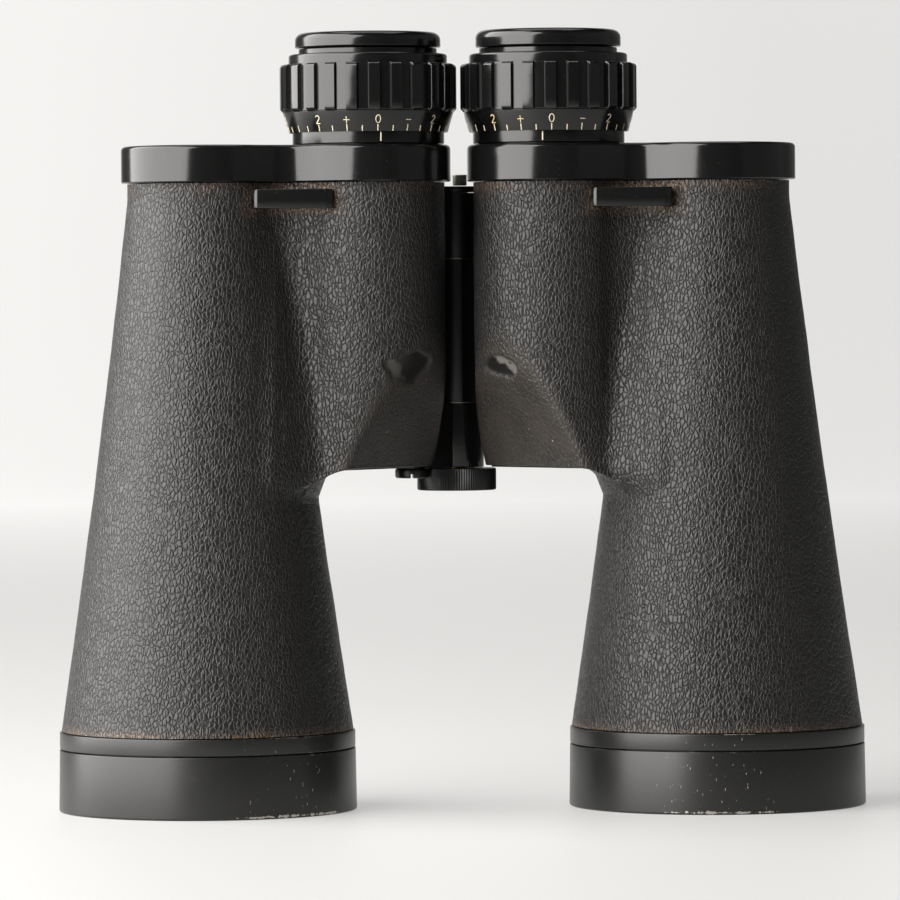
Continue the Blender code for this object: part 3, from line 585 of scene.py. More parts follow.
class Side:
    """One half: its sign in x, its axes in plan places and its heights, all read from the frame."""

    def __init__(self, sign, word):
        self.sign = sign
        self.word = word
        self.body = word + "_barrel"
        self.objective = self.axis_of("objective_hood")
        self.eye = self.axis_of("eye_cap")
        half_shift = (self.objective - self.eye).x / 2
        self.middle = self.eye + Vector((half_shift, half_shift))
        self.centre = self.eye + Vector((half_shift, 5 * MM))
        cover = self.box("prism_cover")
        self.lobe = self.eye.x - min(abs(cover[0].x), abs(cover[1].x)) - COVER_PROUD
        leather = self.box("leatherette")
        self.bottom, self.top = leather[0].z, leather[1].z
        self.foot_radius = self.objective.y - leather[0].y
        self.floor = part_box("tripod_cap_knob")[1].z + 1.0 * MM

    def box(self, node):
        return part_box(f"{self.word}_{node}")

    def axis_of(self, node):
        low, high = self.box(node)
        middle = (low + high) / 2
        return Vector((abs(middle.x), middle.y))

    def world(self, place):
        return (self.sign * place[0], place[1])

    def radius_of(self, node):
        low, high = self.box(node)
        return (high.y - low.y) / 2


LEFT, RIGHT = Side(-1, "left"), Side(1, "right")
SIDES = (LEFT, RIGHT)


def barrel_radius(side, height):
    """Radius over the leathercloth: a straight taper with a slight inward flare."""
    share = (height - side.bottom) / (side.top - side.bottom)
    taper = side.foot_radius + (side.lobe - BARREL_TOP_STEP - side.foot_radius) * share
    return taper - 4 * BARREL_FLARE * share * (1 - share)


def arc(centre, radius, start, end):
    """Points of an arc in plan, as many for every radius."""
    count = math.ceil(abs(end - start) / math.radians(3))
    angle = np.linspace(start, end, count + 1)
    return np.stack([centre[0] + radius * np.cos(angle), centre[1] + radius * np.sin(angle)], 1)


def housing_outline(side, inset):
    """Rounded path objective, middle, eyepiece, with a concave valley between the end lobes."""
    radius, valley = side.lobe - inset, VALLEY_RADIUS + inset
    half = (side.objective - side.eye).x / 2
    drop = math.sqrt((side.lobe + VALLEY_RADIUS) ** 2 - half**2)
    tangent = math.atan2(drop, half)
    fillet = (side.middle.x, side.objective.y - drop)
    return np.concatenate([
        arc(side.objective, radius, tangent - math.pi, math.pi / 4),
        arc(side.middle, radius, math.pi / 4, math.pi * 3 / 4),
        arc(side.eye, radius, math.pi * 3 / 4, TAU - tangent),
        arc(fillet, valley, math.pi - tangent, tangent),
    ])


def spread_points(points, count):
    """A closed outline as count points at equal spacing, starting at its first point."""
    closed = np.vstack([points, points[:1]])
    length = np.concatenate([[0], np.cumsum(np.linalg.norm(np.diff(closed, axis=0), axis=1))])
    wanted = np.linspace(0, length[-1], count, endpoint=False)
    return np.stack([np.interp(wanted, length, closed[:, i]) for i in (0, 1)], 1)


def smooth_min(a, b, reach):
    """The smaller of two, blended where they come within reach of each other."""
    share = np.clip(1 - np.abs(a - b) / reach, 0, 1)
    return np.minimum(a, b) - share * share * reach / 4


def contour(side, height, count=ROUND_COUNT):
    """The outer form in plan at a height: the cut-away housing blended into the barrel."""
    centre = np.array(side.centre)
    angle = np.linspace(0, TAU, 1440, endpoint=False)
    ray = np.stack([np.cos(angle), np.sin(angle)], 1)
    walls = spread_points(housing_outline(side, 0.0), 1200) - centre
    order = np.argsort(np.arctan2(walls[:, 1], walls[:, 0]) % TAU)
    walls = walls[order]
    housing = np.interp(
        angle, np.arctan2(walls[:, 1], walls[:, 0]) % TAU, np.linalg.norm(walls, axis=1), period=TAU
    )
    facing = np.array((-math.cos(FACET_AZIMUTH), -math.sin(FACET_AZIMUTH)))
    reach = FACET_REACH + (height - side.floor) / FACET_SLOPE
    toward = ray @ facing
    distance = reach - (centre - np.array(side.eye)) @ facing
    facet = np.where(toward > 0.02, distance / np.maximum(toward, 0.02), 1.0)
    housing = smooth_min(housing, facet, FACET_BLEND)
    offset = centre - np.array(side.objective)
    along = ray @ offset
    inside = along**2 - offset @ offset + barrel_radius(side, height) ** 2
    barrel = np.where(inside > 0, np.sqrt(np.maximum(inside, 0)) - along, 0.0)
    turn = (angle + math.pi) % TAU - math.pi
    outer = np.clip((np.abs(turn + math.radians(25)) - math.radians(35)) / math.radians(20), 0.02, 1)
    lowness = np.clip((side.top - height) / (side.top - side.floor), 0, 1)
    blend = SEAM_BLEND_TOP + (SEAM_BLEND_FLOOR - SEAM_BLEND_TOP) * lowness
    union = -smooth_min(-housing, -barrel, blend * outer)
    return spread_points(centre + ray * union[:, None], count)


def smoothstep(value):
    """An even run from 0 to 1 with soft ends."""
    value = np.clip(value, 0, 1)
    return value * value * (3 - 2 * value)


def wandering(points, scale, seed):
    """Smooth noise from -1 to 1 at each point."""
    offset = Vector((seed, seed * 2.7, -seed))
    return np.array([noise.noise(Vector(p) * scale + offset) for p in points])


# Gouges in the cloth over the prism adjusters: angle from the front, width, height, depth, the
# way towards the pale patch across and up, and how strong that patch is. The patch is bared
# metal in the right gouge and a painted highlight along the torn edge of the left one.
GOUGES = {
    "left": (32.0, 8.8 * MM, 4.8 * MM, 0.62 * MM, (-1.0, -0.3), 0.14),
    "right": (-52.0, 7.4 * MM, 3.2 * MM, 0.66 * MM, (1.2, 0.7), 0.35),
}


def shape_cloth(side, points, normals):
    """Presses the gouges and a soft unevenness into the cloth, and returns its wear, dirt and tears."""
    degrees, width, height, depth, toward, pale_patch_strength = GOUGES[side.word]
    turn = math.radians(degrees)
    eye = side.world(side.eye)
    facing = np.array((math.sin(turn), -math.cos(turn), 0.0))
    middle = np.array((*eye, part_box(f"{side.word}_prism_adjusting_screw")[0].z - 0.8 * MM))
    middle[:2] += facing[:2] * side.lobe
    aside = np.array((math.cos(turn), math.sin(turn), 0.0))
    offset = points - middle
    ragged = wandering(points, 210.0, 3.0 + side.sign) * 0.35
    reach = np.hypot(offset @ aside / width, offset[:, 2] / height) + ragged
    reach = np.where(offset @ facing > -9 * MM, reach, 9.0)
    torn = smoothstep((1.05 - reach) / 0.25)
    lifted = np.exp(-(((reach - 1.2) / 0.16) ** 2)) * (reach < 3)
    corner = offset @ aside / width * toward[0] + offset[:, 2] / height * toward[1]
    corner += 0.3 * wandering(points, 420.0, 9.0)
    # A pale patch in the torn floor: bared metal in the right gouge, a painted highlight along the left gouge's
    # torn edge
    bared_and_highlight = smoothstep((corner - 0.3) / 0.12) * torn * pale_patch_strength
    soft = wandering(points, 70.0, 11.0) * 0.14 * MM + wandering(points, 190.0, 5.0) * 0.07 * MM
    shift = soft - torn * depth + lifted * 0.09 * MM
    points = points + normals * shift[:, None]
    facing = np.array((-side.sign * math.cos(FACET_AZIMUTH), -math.sin(FACET_AZIMUTH)))
    reach = FACET_REACH + (points[:, 2] - side.floor) / FACET_SLOPE
    gap = (points[:, :2] - np.array(eye)) @ facing - reach
    worn = smoothstep((gap + 3.5 * MM) / (3.5 * MM)) * (points[:, 2] > side.floor - 1 * MM)
    worn = np.clip(worn * (0.8 + 0.5 * wandering(points, 120.0, 7.0)), 0, 1)
    low = np.exp(-((points[:, 2] - side.bottom) / (1.6 * MM)) ** 2)
    high = np.exp(-((points[:, 2] - side.top) / (2.2 * MM)) ** 2)
    patch = np.clip(0.5 + 1.4 * wandering(points, 60.0, 21.0), 0, 1)
    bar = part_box(f"{side.word}_strap_bar")
    bar_middle = (np.array(bar[0]) + np.array(bar[1])) / 2
    bar_off = np.abs(points - bar_middle) / np.array((13.5 * MM, 9.0 * MM, 4.5 * MM))
    by_bar = smoothstep(2.2 - 1.6 * bar_off.max(axis=1))
    grime = np.clip(low * (0.4 + 0.6 * patch) + high * patch + 0.8 * by_bar, 0, 1)
    return points, {"worn": worn, "grime": grime, "torn": torn, "bared_and_highlight": bared_and_highlight}


def build_cloth(side):
    """The leathercloth: barrel, crotch fillet, underside, housing walls, and a hidden inner face."""
    objective = np.array(side.objective)
    spring = side.floor - CROTCH_RADIUS
    wall = contour(side, side.floor + FLOOR_EDGE)
    bearing = np.unwrap(np.arctan2(*(wall - objective).T[::-1]))
    floor_radius = barrel_radius(side, side.floor + FLOOR_EDGE)
    outside = np.linalg.norm(wall - objective, axis=1) - floor_radius > 0.25 * MM
    first, last = np.flatnonzero(outside)[[0, -1]]
    bearing[first : last + 1] = np.linspace(bearing[first], bearing[last], last + 1 - first)
    padded = np.concatenate([bearing[-6:] - TAU, bearing, bearing[:6] + TAU])
    bearing = np.convolve(padded, np.ones(13) / 13, mode="valid")
    compass = np.stack([np.cos(bearing), np.sin(bearing)], 1)

    def on_barrel(height):
        radius = np.array([barrel_radius(side, h) for h in np.broadcast_to(height, bearing.shape)])
        return objective + compass * radius[:, None]

    def row(plan, height):
        height = np.broadcast_to(height, bearing.shape)
        return np.stack([side.sign * plan[:, 0], plan[:, 1], height], 1)

    rows = [row(on_barrel(h), h) for h in np.linspace(side.bottom, spring, BARREL_ROWS)]
    reach = np.linalg.norm(wall - on_barrel(side.floor), axis=1)
    fillet = np.minimum(CROTCH_RADIUS, reach * 0.85)
    edge = np.minimum(FLOOR_EDGE, reach * 0.15)
    away = smoothstep((reach - 4 * MM) / (15 * MM))
    end = side.floor + FLOOR_EDGE
    # Each step is (distance out from the barrel, height), for every point round the cloth
    path = [(0.0 * reach, spring + (side.floor - fillet - spring) * t) for t in (0.3, 0.65, 1.0)]
    for turn in np.linspace(0.1, 1.0, 10) * math.pi / 2:
        path.append((fillet * (1 - math.cos(turn)), side.floor - fillet * (1 - math.sin(turn))))
    for t in np.linspace(0.06, 1.0, 18):
        path.append((fillet + (reach - edge - fillet) * t, side.floor + 0 * reach))
    for turn in np.array((0.35, 0.7, 1.0)) * math.pi / 2:
        path.append((reach - edge * (1 - math.sin(turn)), side.floor + edge * (1 - math.cos(turn))))
    overhang = wall - on_barrel(end)
    for number, (along, height) in enumerate(path, 1):
        even = number / (len(path) + 1)
        height = spring + (end - spring) * even + (height - spring - (end - spring) * even) * away
        share = np.clip(along / np.maximum(reach, 1e-6), 0, 1)
        share = (share - smoothstep(even)) * away + smoothstep(even)
        rows.append(row(on_barrel(np.minimum(height, end)) + overhang * share[:, None], height))
    heights = [end]
    while heights[-1] < side.top - 0.7 * MM:
        near = abs(heights[-1] - GOUGE_HEIGHT) < 7 * MM
        heights.append(heights[-1] + (0.6 if near else 1.3) * MM)
    heights[-1] = side.top
    rows += [row(contour(side, h), h) for h in heights]
    outer = np.array(rows)
    across = np.roll(outer, -1, 1) - np.roll(outer, 1, 1)
    normals = np.cross(across, np.gradient(outer, axis=0))
    normals /= np.maximum(np.linalg.norm(normals, axis=2, keepdims=True), 1e-12)
    hub = np.array((*side.world(side.objective), 0.0))
    if np.einsum("ij,ij->", normals[10, :, :2], (outer[10] - hub)[:, :2]) < 0:
        normals = -normals
    kept = [*range(len(outer) - 1, len(outer) - 8, -3), *range(len(outer) - 14, 0, -9), 0]
    inner = outer[kept] - normals[kept] * LEATHER
    shape = outer.shape
    moved, marks = shape_cloth(side, outer.reshape(-1, 3), normals.reshape(-1, 3))
    rows = np.concatenate([moved.reshape(shape), inner])
    mesh = skin(side.word + "_leathercloth", rows)
    for name, values in marks.items():
        layer = mesh.attributes.new(name, "FLOAT", "POINT")
        filled = np.concatenate([values, np.zeros(len(kept) * ROUND_COUNT)])
        layer.data.foreach_set("value", filled.astype(np.float32))
    piece(mesh.name, mesh, side.body, "leatherette", (side.word + "_leatherette",))


def eased(plan, reach):
    """A closed outline of equal steps with its curvature changes spread over a length."""
    step = np.linalg.norm(plan[1] - plan[0])
    half = max(1, round(reach / step))
    window = np.hanning(2 * half + 3)[1:-1]
    window /= window.sum()
    padded = np.concatenate([plan[-half:], plan, plan[:half]])
    return np.stack([np.convolve(padded[:, i], window, mode="valid") for i in (0, 1)], 1)


def outlined(side, name, steps):
    """A solid through the housing's outline. Steps are (inset, height), or (share, height, True)
    for a row shrunk to a share of its size about the centre.
    """
    rows = []
    for inset, height, *shrunk in steps:
        plan = spread_points(housing_outline(side, -COVER_PROUD if shrunk else inset), 360)
        plan = eased(plan, 6 * MM)
        if shrunk:
            plan = np.array(side.centre) + (plan - np.array(side.centre)) * inset
        level = np.full(len(plan), height)
        rows.append(np.column_stack([side.sign * plan[:, 0], plan[:, 1], level]))
    return skin(name, rows, merge=True)


def build_cover(side):
    """The prism cover plate: a pressed cup with a rounded rim and a hole for the eyepiece sleeve."""
    low, high = side.box("prism_cover")
    name = side.word + "_cover_plate"
    edge, wall, hole_radius = 1.3 * MM, 2.5 * MM, 21.5 * MM
    steps = [(0.0, high.z, True), (0.8, high.z, True)]
    for k in range(7):
        turn = math.pi / 2 * k / 6
        inset = edge * (1 - math.sin(turn)) - COVER_PROUD
        steps.append((inset, high.z - edge * (1 - math.cos(turn))))
    steps += [(-COVER_PROUD, low.z + 0.3 * MM), (-COVER_PROUD + 0.3 * MM, low.z)]
    steps += [(2.9 * MM, low.z), (2.9 * MM, high.z - wall), (0.0, high.z - wall, True)]
    plate = outlined(side, name, steps)
    centre = side.world(side.eye)
    hole = disc(name + "_hole", centre, hole_radius, high.z - 2 * wall, high.z + wall, 0.0, 180)
    mesh = boolean(plate, [hole], "DIFFERENCE")
    piece(name, mesh, side.body, "black_enamel", (side.word + "_prism_cover",))


def build_strap_bar(side):
    """The strap bar: a flat bar bent back at both ends, with bevelled edges."""
    low, high = side.box("strap_bar")
    thick, edge = 2.5 * MM, 0.35 * MM
    name = side.word + "_strap_loop"
    outline = [
        (low.x, low.y + 0.8 * MM), (low.x + 0.9 * MM, low.y),
        (high.x - 1.9 * MM, low.y), (high.x, low.y + 1.2 * MM),
        (high.x, high.y), (high.x - thick, high.y), (high.x - thick, low.y + thick),
        (low.x + thick, low.y + thick), (low.x + thick, high.y), (low.x, high.y),
    ]
    bm = bmesh.new()
    face = bm.faces.new([bm.verts.new((x, y, low.z)) for x, y in outline])
    drawn = bmesh.ops.extrude_face_region(bm, geom=[face])["geom"]
    raised = [item for item in drawn if isinstance(item, bmesh.types.BMVert)]
    bmesh.ops.translate(bm, verts=raised, vec=(0.0, 0.0, high.z - low.z))
    bmesh.ops.recalc_face_normals(bm, faces=bm.faces)
    bmesh.ops.bevel(bm, geom=bm.edges[:], offset=edge, segments=3, profile=0.5, affect="EDGES")
    mesh = made_from(bm, name)
    piece(name, mesh, side.body, "satin_black", (side.word + "_strap_bar",), LOOKS["black_enamel"])


def build_objective_end(side):
    """Hood with its baffle grooves, collar and front lens on the objective axis."""
    centre = side.world(side.objective)
    low, high = side.box("objective_hood")
    radius, bore = side.radius_of("objective_hood"), side.foot_radius - 1.6 * MM
    lip, seat, groove = bore - 1.5 * MM, 8.7 * MM, 0.9 * MM
    profile = [
        (radius - 0.3 * MM, high.z), (radius, 0.4 * MM), (radius - 0.4 * MM, low.z), (lip, low.z),
    ]
    for k in range(int((seat - 1.2 * MM) / groove)):
        start = 0.6 * MM + k * groove
        profile += [(lip, start), (lip + 0.3 * MM, start + groove / 2)]
    profile += [(lip, seat), (bore, seat), (bore, high.z)]
    mesh = turned(side.word + "_hood", centre, profile, 0.3 * MM, 256)
    piece(mesh.name, mesh, side.body, "satin_black", (side.word + "_objective_hood",), LOOKS["hood"])
    low, high = side.box("objective_collar")
    radius, bore = side.radius_of("objective_collar"), side.foot_radius - 1.7 * MM
    mesh = tube(side.word + "_collar", centre, radius, bore, low.z, high.z, 0.35 * MM, 256)
    node = side.word + "_objective_collar"
    piece(mesh.name, mesh, side.body, "black_enamel", (node,), LOOKS["hood"])
    build_lens(side, "objective_crown_lens", side.objective, side.body, 1.7 * MM, True)


def build_lens(side, node, place, body, bulge, both):
    """A lens with a ground edge. It bulges above, and below as well if both is set."""
    low, high = side.box(node)
    radius = side.radius_of(node)
    steps = 14
    shares = [k / steps for k in range(steps + 1)]
    profile = [(radius * s, high.z - bulge * s * s) for s in shares]
    foot = bulge if both else 0.0
    profile += [(radius * s, low.z + foot * s * s) for s in reversed(shares)]
    mesh = turned(f"{side.word}_{node}_polished", side.world(place), profile, 0.0, 128)
    piece(mesh.name, mesh, body, "lens_glass", (f"{side.word}_{node}",))


def on_cone(side, angle, along, depth, cone):
    """A point on the scale ring's cone: angle from the front, distance up the slope, depth in."""
    low_radius, low, high_radius, high = cone
    slope = math.hypot(high_radius - low_radius, high - low)
    share = along / slope
    radius = low_radius + (high_radius - low_radius) * share - depth * (high - low) / slope
    height = low + (high - low) * share + depth * (high_radius - low_radius) / slope
    x, y = side.world(side.eye)
    return (x + radius * math.sin(angle), y - radius * math.cos(angle), height)


def figure(kind):
    """A scale figure as pen strokes in a box one high, centred on zero."""
    if kind == "0":
        turns = np.linspace(0, TAU, 25)
        return [[(0.3 * math.sin(a), 0.5 + 0.5 * math.cos(a)) for a in turns]]
    if kind == "2":
        turns = np.radians(np.linspace(165, -35, 14))
        hook = [(0.27 * math.cos(a), 0.73 + 0.27 * math.sin(a)) for a in turns]
        return [[*hook, (-0.28, 0.02)], [(-0.3, 0.0), (0.3, 0.0)]]
    if kind == "4":
        return [[(0.12, 0.0), (0.12, 1.0), (-0.32, 0.3), (0.34, 0.3)]]
    if kind == "+":
        return [[(0.0, -0.02), (0.0, 0.86)], [(-0.4, 0.42), (0.4, 0.42)]]
    return [[(-0.36, 0.42), (0.36, 0.42)]]


def strokes(name, lines, pen):
    """Round strokes of a pen's width along lines of points, as one mesh."""
    curve = bpy.data.curves.new(name, "CURVE")
    curve.dimensions = "3D"
    curve.bevel_depth = pen / 2
    curve.bevel_resolution = 2
    curve.use_fill_caps = True
    for line in lines:
        spline = curve.splines.new("POLY")
        spline.points.add(len(line) - 1)
        for point, place in zip(spline.points, line):
            point.co = (*place, 1.0)
    obj = bpy.data.objects.new(name, curve)
    bpy.context.scene.collection.objects.link(obj)
    mesh = evaluated(obj)
    bpy.data.curves.remove(curve)
    merge_doubles(mesh)
    return mesh


# Angles of each eyepiece's zero mark and index line from the front towards +X, and of its lands
ZERO_DEGREES = {"left": 4.6, "right": -1.6}
INDEX_DEGREES = {"left": 7.2, "right": -8.3}
LAND_DEGREES = {"left": 1.9, "right": -2.3}
DIOPTRE = math.radians(22)

# The scale figures, each with the dioptre it stands at, and the pen that drew scale and index
FIGURES = (("4", -4), ("2", -2), ("+", -1), ("0", 0), ("-", 1), ("2", 2), ("4", 4))
PEN = 0.36 * MM
FIGURE_HEIGHT = 2.45 * MM
SUNK = 0.1 * MM

# How much further than their boxes the scale and grip rings reach down, and how much lower than
# its box the left cap stands
SKIRT = 0.9 * MM
SCREWED_DOWN = 0.6 * MM

# Flutes round the grip ring, their depth, and half a land's width and one wall's, in pitches
FLUTES = 24
FLUTE_DEPTH = 1.25 * MM
HALF_LAND = 0.232
FLUTE_WALL = 0.05

# Ridges of the tripod cap's knurl and their depth
KNURL_RIDGES = 100
KNURL_DEPTH = 0.22 * MM


def build_scale(side):
    """The conical dioptre ring with filled ticks and figures, and the sleeve with its index line."""
    low, high = side.box("dioptre_scale_ring")
    foot = low.z - SKIRT
    sleeve = side.radius_of("eyepiece_sleeve")
    wide, narrow = side.radius_of("dioptre_scale_ring"), sleeve + 1.0 * MM
    centre = side.world(side.eye)
    ring_body = side.word + "_focus_ring"
    inner = sleeve + CLEARANCE
    profile = [(wide, high.z), (narrow, foot), (inner, foot), (inner, high.z)]
    mesh = turned(side.word + "_scale_ring", centre, profile, 0.12 * MM)
    piece(mesh.name, mesh, ring_body, "engraved_black", (side.word + "_dioptre_scale_ring",))
    cone = (narrow, foot, wide, high.z)
    zero = math.radians(ZERO_DEGREES[side.word])
    for size, length, count, first in (("long", 2.15, 9, -4), ("short", 1.85, 8, -3.5)):
        name = f"{side.word}_scale_{size}_ticks"
        points = [on_cone(side, 0.0, t, SUNK, cone) for t in np.linspace(0.15, length, 3) * MM]
        line = [(x - centre[0], y - centre[1], z) for x, y, z in points]
        tick = strokes(name, [line], PEN * 1.15)
        ticks = copied_round(
            tick, count, DIOPTRE, zero + first * DIOPTRE, (*centre, 0.0), CREAM, weld=1e-7
        )
        piece(name, ticks, ring_body, "engraved_black")
    for number, (kind, dioptre) in enumerate(FIGURES):
        angle = zero + dioptre * DIOPTRE
        lines = [
            [
                on_cone(side, angle + x * FIGURE_HEIGHT / wide, 2.55 * MM + y * FIGURE_HEIGHT, SUNK, cone)
                for x, y in stroke
            ]
            for stroke in figure(kind)
        ]
        mesh = strokes(f"{side.word}_scale_figure_{number}", lines, PEN)
        paint = YELLOWED if side is RIGHT and dioptre < 0 else CREAM
        piece(mesh.name, mesh, ring_body, "engraved_black", look=paint)
    build_sleeve(side, sleeve, foot)


def build_sleeve(side, sleeve, ring_foot):
    """The fixed eyepiece sleeve, necked below the cover's top, and the index line down its front."""
    low, high = side.box("eyepiece_sleeve")
    centre = side.world(side.eye)
    bore, neck = side.radius_of("ocular_tube") + CLEARANCE, sleeve - 1.75 * MM
    top = side.box("prism_cover")[1].z
    profile = [
        (sleeve, high.z), (sleeve, top + 0.3 * MM), (neck, top + 0.3 * MM),
        (neck, low.z), (bore, low.z), (bore, high.z),
    ]
    mesh = turned(side.word + "_sleeve", centre, profile)
    piece(mesh.name, mesh, side.body, "engraved_black", (side.word + "_eyepiece_sleeve",))
    turn = math.radians(INDEX_DEGREES[side.word])
    radius = sleeve - SUNK
    x, y = centre[0] + radius * math.sin(turn), centre[1] - radius * math.cos(turn)
    line = [(x, y, top + 0.75 * MM), (x, y, ring_foot - 0.2 * MM)]
    mesh = strokes(side.word + "_index_line", [line], 0.5 * MM)
    piece(mesh.name, mesh, side.body, "engraved_black", look=CREAM)


def flute_share(part_way):
    """How deep the flute is part way across a pitch: 0 on the land, 1 on the flute's floor."""
    return float(smoothstep((abs(part_way) - HALF_LAND) / FLUTE_WALL))


def build_grip(side):
    """The fluted grip ring with its shoulder and neck, made from one flute copied round."""
    low, high = side.box("grip_ring")
    foot = low.z - SKIRT
    radius, sleeve = side.radius_of("grip_ring"), side.radius_of("eyepiece_sleeve")
    bore, neck = sleeve + CLEARANCE, sleeve - 2.05 * MM
    inner = side.radius_of("ocular_tube") + CLEARANCE
    shoulder, top = sleeve + 1.0 * MM, high.z - 4.6 * MM
    floor = radius - FLUTE_DEPTH
    step = low.z + 3.8 * MM
    # Millimetres in from the land's radius and from the flute's floor, and up from the foot
    fluted = [
        (2.15, 0.9, 0.0), (1.6, 0.5, 0.05), (1.05, 0.2, 0.3), (0.45, 0.0, 0.9), (0.08, 0.0, 1.3),
        (0.0, 0.0, 1.6),
    ]
    # and down from the top
    fluted_top = [
        (0.0, 0.0, 1.2), (0.06, -0.03, 0.8), (0.4, -0.05, 0.35), (0.95, 0.0, 0.06), (1.65, 0.4, 0.0),
    ]
    profile = [(inner, inner, step), (bore, bore, step), (bore, bore, foot)]
    profile += [(radius - a * MM, floor - b * MM, foot + up * MM) for a, b, up in fluted]
    profile += [(radius, floor, foot + share * (top - foot)) for share in (0.3, 0.5, 0.7)]
    profile += [(radius - a * MM, floor - b * MM, top - down * MM) for a, b, down in fluted_top]
    plain = [(shoulder, top), (shoulder, top + 2.2 * MM)]
    for k in range(1, 5):
        turn = math.pi / 2 * k / 4
        rounding = 0.8 * MM * (1 - math.cos(turn))
        plain.append((shoulder - rounding, top + 2.2 * MM + 0.8 * MM * math.sin(turn)))
    plain += [(neck + 0.1 * MM, top + 3.0 * MM), (neck, top + 3.1 * MM)]
    plain += [(neck, high.z - 0.2 * MM), (neck - 0.2 * MM, high.z), (inner, high.z)]
    profile += [(r, r, z) for r, z in plain]
    shares = [0.0, 0.06, 0.13, 0.19, 0.218, 0.2305, 0.243, 0.256, 0.268, 0.28, 0.34, 0.42, 0.5]
    spread = [s - 0.5 for s in shares] + [0.5 - s for s in reversed(shares[:-1])]
    pitch = TAU / FLUTES
    columns = []
    for part_way in spread:
        across, away = math.sin(pitch * part_way), -math.cos(pitch * part_way)
        share = flute_share(part_way)
        radii = [(land + (flute - land) * share, z) for land, flute, z in profile]
        columns.append([(r * across, r * away, z) for r, z in radii])
    name = side.word + "_fluted_grip"
    first = math.radians(LAND_DEGREES[side.word])
    place = (*side.world(side.eye), 0.0)
    mesh = copied_round(strip(name, columns), FLUTES, pitch, first, place, LOOKS["black_enamel"], 2e-6)
    piece(name, mesh, side.word + "_focus_ring", "black_enamel", (side.word + "_grip_ring",))


def build_eye_end(side):
    """The eye cap, with a rolled rim and a dished recess, and the eye lens."""
    low, high = side.box("eye_cap")
    top = high.z - (SCREWED_DOWN if side is LEFT else 0.0)
    radius, rim = side.radius_of("eye_cap"), 2.4 * MM
    start = side.box("grip_ring")[1].z + 0.3 * MM
    spigot = side.radius_of("ocular_tube") - 2.3 * MM
    bore = side.radius_of("eye_lens") + CLEARANCE
    profile = [(radius - 3.0 * MM, top)]
    for turn in np.linspace(0, math.pi / 2, 9):
        profile.append((radius - rim * (1 - math.sin(turn)), top - rim * (1 - math.cos(turn))))
    profile += [(radius, start + 0.3 * MM), (radius - 0.3 * MM, start)]
    profile += [(spigot, start), (spigot, low.z), (bore, low.z)]
    dish_width, dish_height = radius - 3.4 * MM - bore, top - start - 1.0 * MM
    for share in np.linspace(0, 1, 9):
        profile.append((bore + dish_width * share, start + 0.4 * MM + dish_height * share**1.7))
    mesh = turned(side.word + "_cap", side.world(side.eye), profile, 0.12 * MM)
    piece(mesh.name, mesh, side.word + "_focus_ring", "black_enamel", (side.word + "_eye_cap",))
    build_lens(side, "eye_lens", side.eye, side.word + "_ocular", 0.85 * MM, False)


def build_grub_screws(side):
    """Three slotted grub screws round the grip ring, made from one screw copied round."""
    nodes = [f"{side.word}_grip_ring_screw_{k}" for k in (1, 2, 3)]
    low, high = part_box(nodes[0])
    middle = (low + high) / 2
    centre = side.world(side.eye)
    out = math.hypot(middle.x - centre[0], middle.y - centre[1])
    angle = math.atan2(middle.x - centre[0], centre[1] - middle.y)
    radius, length = (high.z - low.z) / 2, 1.5 * MM
    bm = bmesh.new()
    bmesh.ops.create_cone(
        bm, cap_ends=True, segments=24, radius1=radius, radius2=radius, depth=length,
        matrix=Matrix.Translation((0.0, -out, middle.z)) @ Matrix.Rotation(math.pi / 2, 4, "X"),
    )
    body = made_from(bm, "grub_screw")
    face = (0.0, -out - length / 2, middle.z)
    slot = block("grub_slot", face, (3 * MM, 0.8 * MM, 0.35 * MM))
    screw = boolean(body, [slot], "DIFFERENCE")
    mesh = copied_round(screw, 3, TAU / 3, angle, (*centre, 0.0), LOOKS["bare_steel"], 1e-7)
    piece(side.word + "_grub_screws", mesh, side.word + "_focus_ring", "bare_steel", nodes)


# ---------------------------------------------------------------- hinge


def build_knuckles():
    """Smooth sleeves of the three hinge knuckles, over the castings' own, and the shims between.

    The shims ride with the left half, so each is a little thinner than its gap and lies against a
    left knuckle, clear of the right one in the middle.
    """
    low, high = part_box("hinge_top_flange")
    radius = (high.x - low.x) / 2
    start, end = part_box("tripod_cap_knob")[1].z + GAP, low.z - GAP
    lower_seam, upper_seam = start + 19.9 * MM, end - 20.3 * MM
    outer, inner = radius + 0.3 * MM, radius - 0.4 * MM
    for word, name, foot, top in (
        ("left", "lower", start, lower_seam - GAP),
        ("right", "middle", lower_seam, upper_seam),
        ("left", "upper", upper_seam + GAP, end),
    ):
        mesh = tube(f"{word}_{name}_knuckle", HINGE, outer, inner, foot, top, 0.18 * MM)
        look = LOOKS["black_enamel"] if name == "lower" else None
        piece(mesh.name, mesh, word + "_barrel", "casting", look=look)
    shim = GAP - 0.04 * MM
    for number, foot in enumerate((lower_seam - GAP, upper_seam + GAP - shim), 1):
        mesh = tube(f"hinge_shim_{number}", HINGE, outer, inner, foot, foot + shim, 0.0)
        piece(mesh.name, mesh, "left_barrel", "bare_steel", look=LOOKS["worn_edge"])


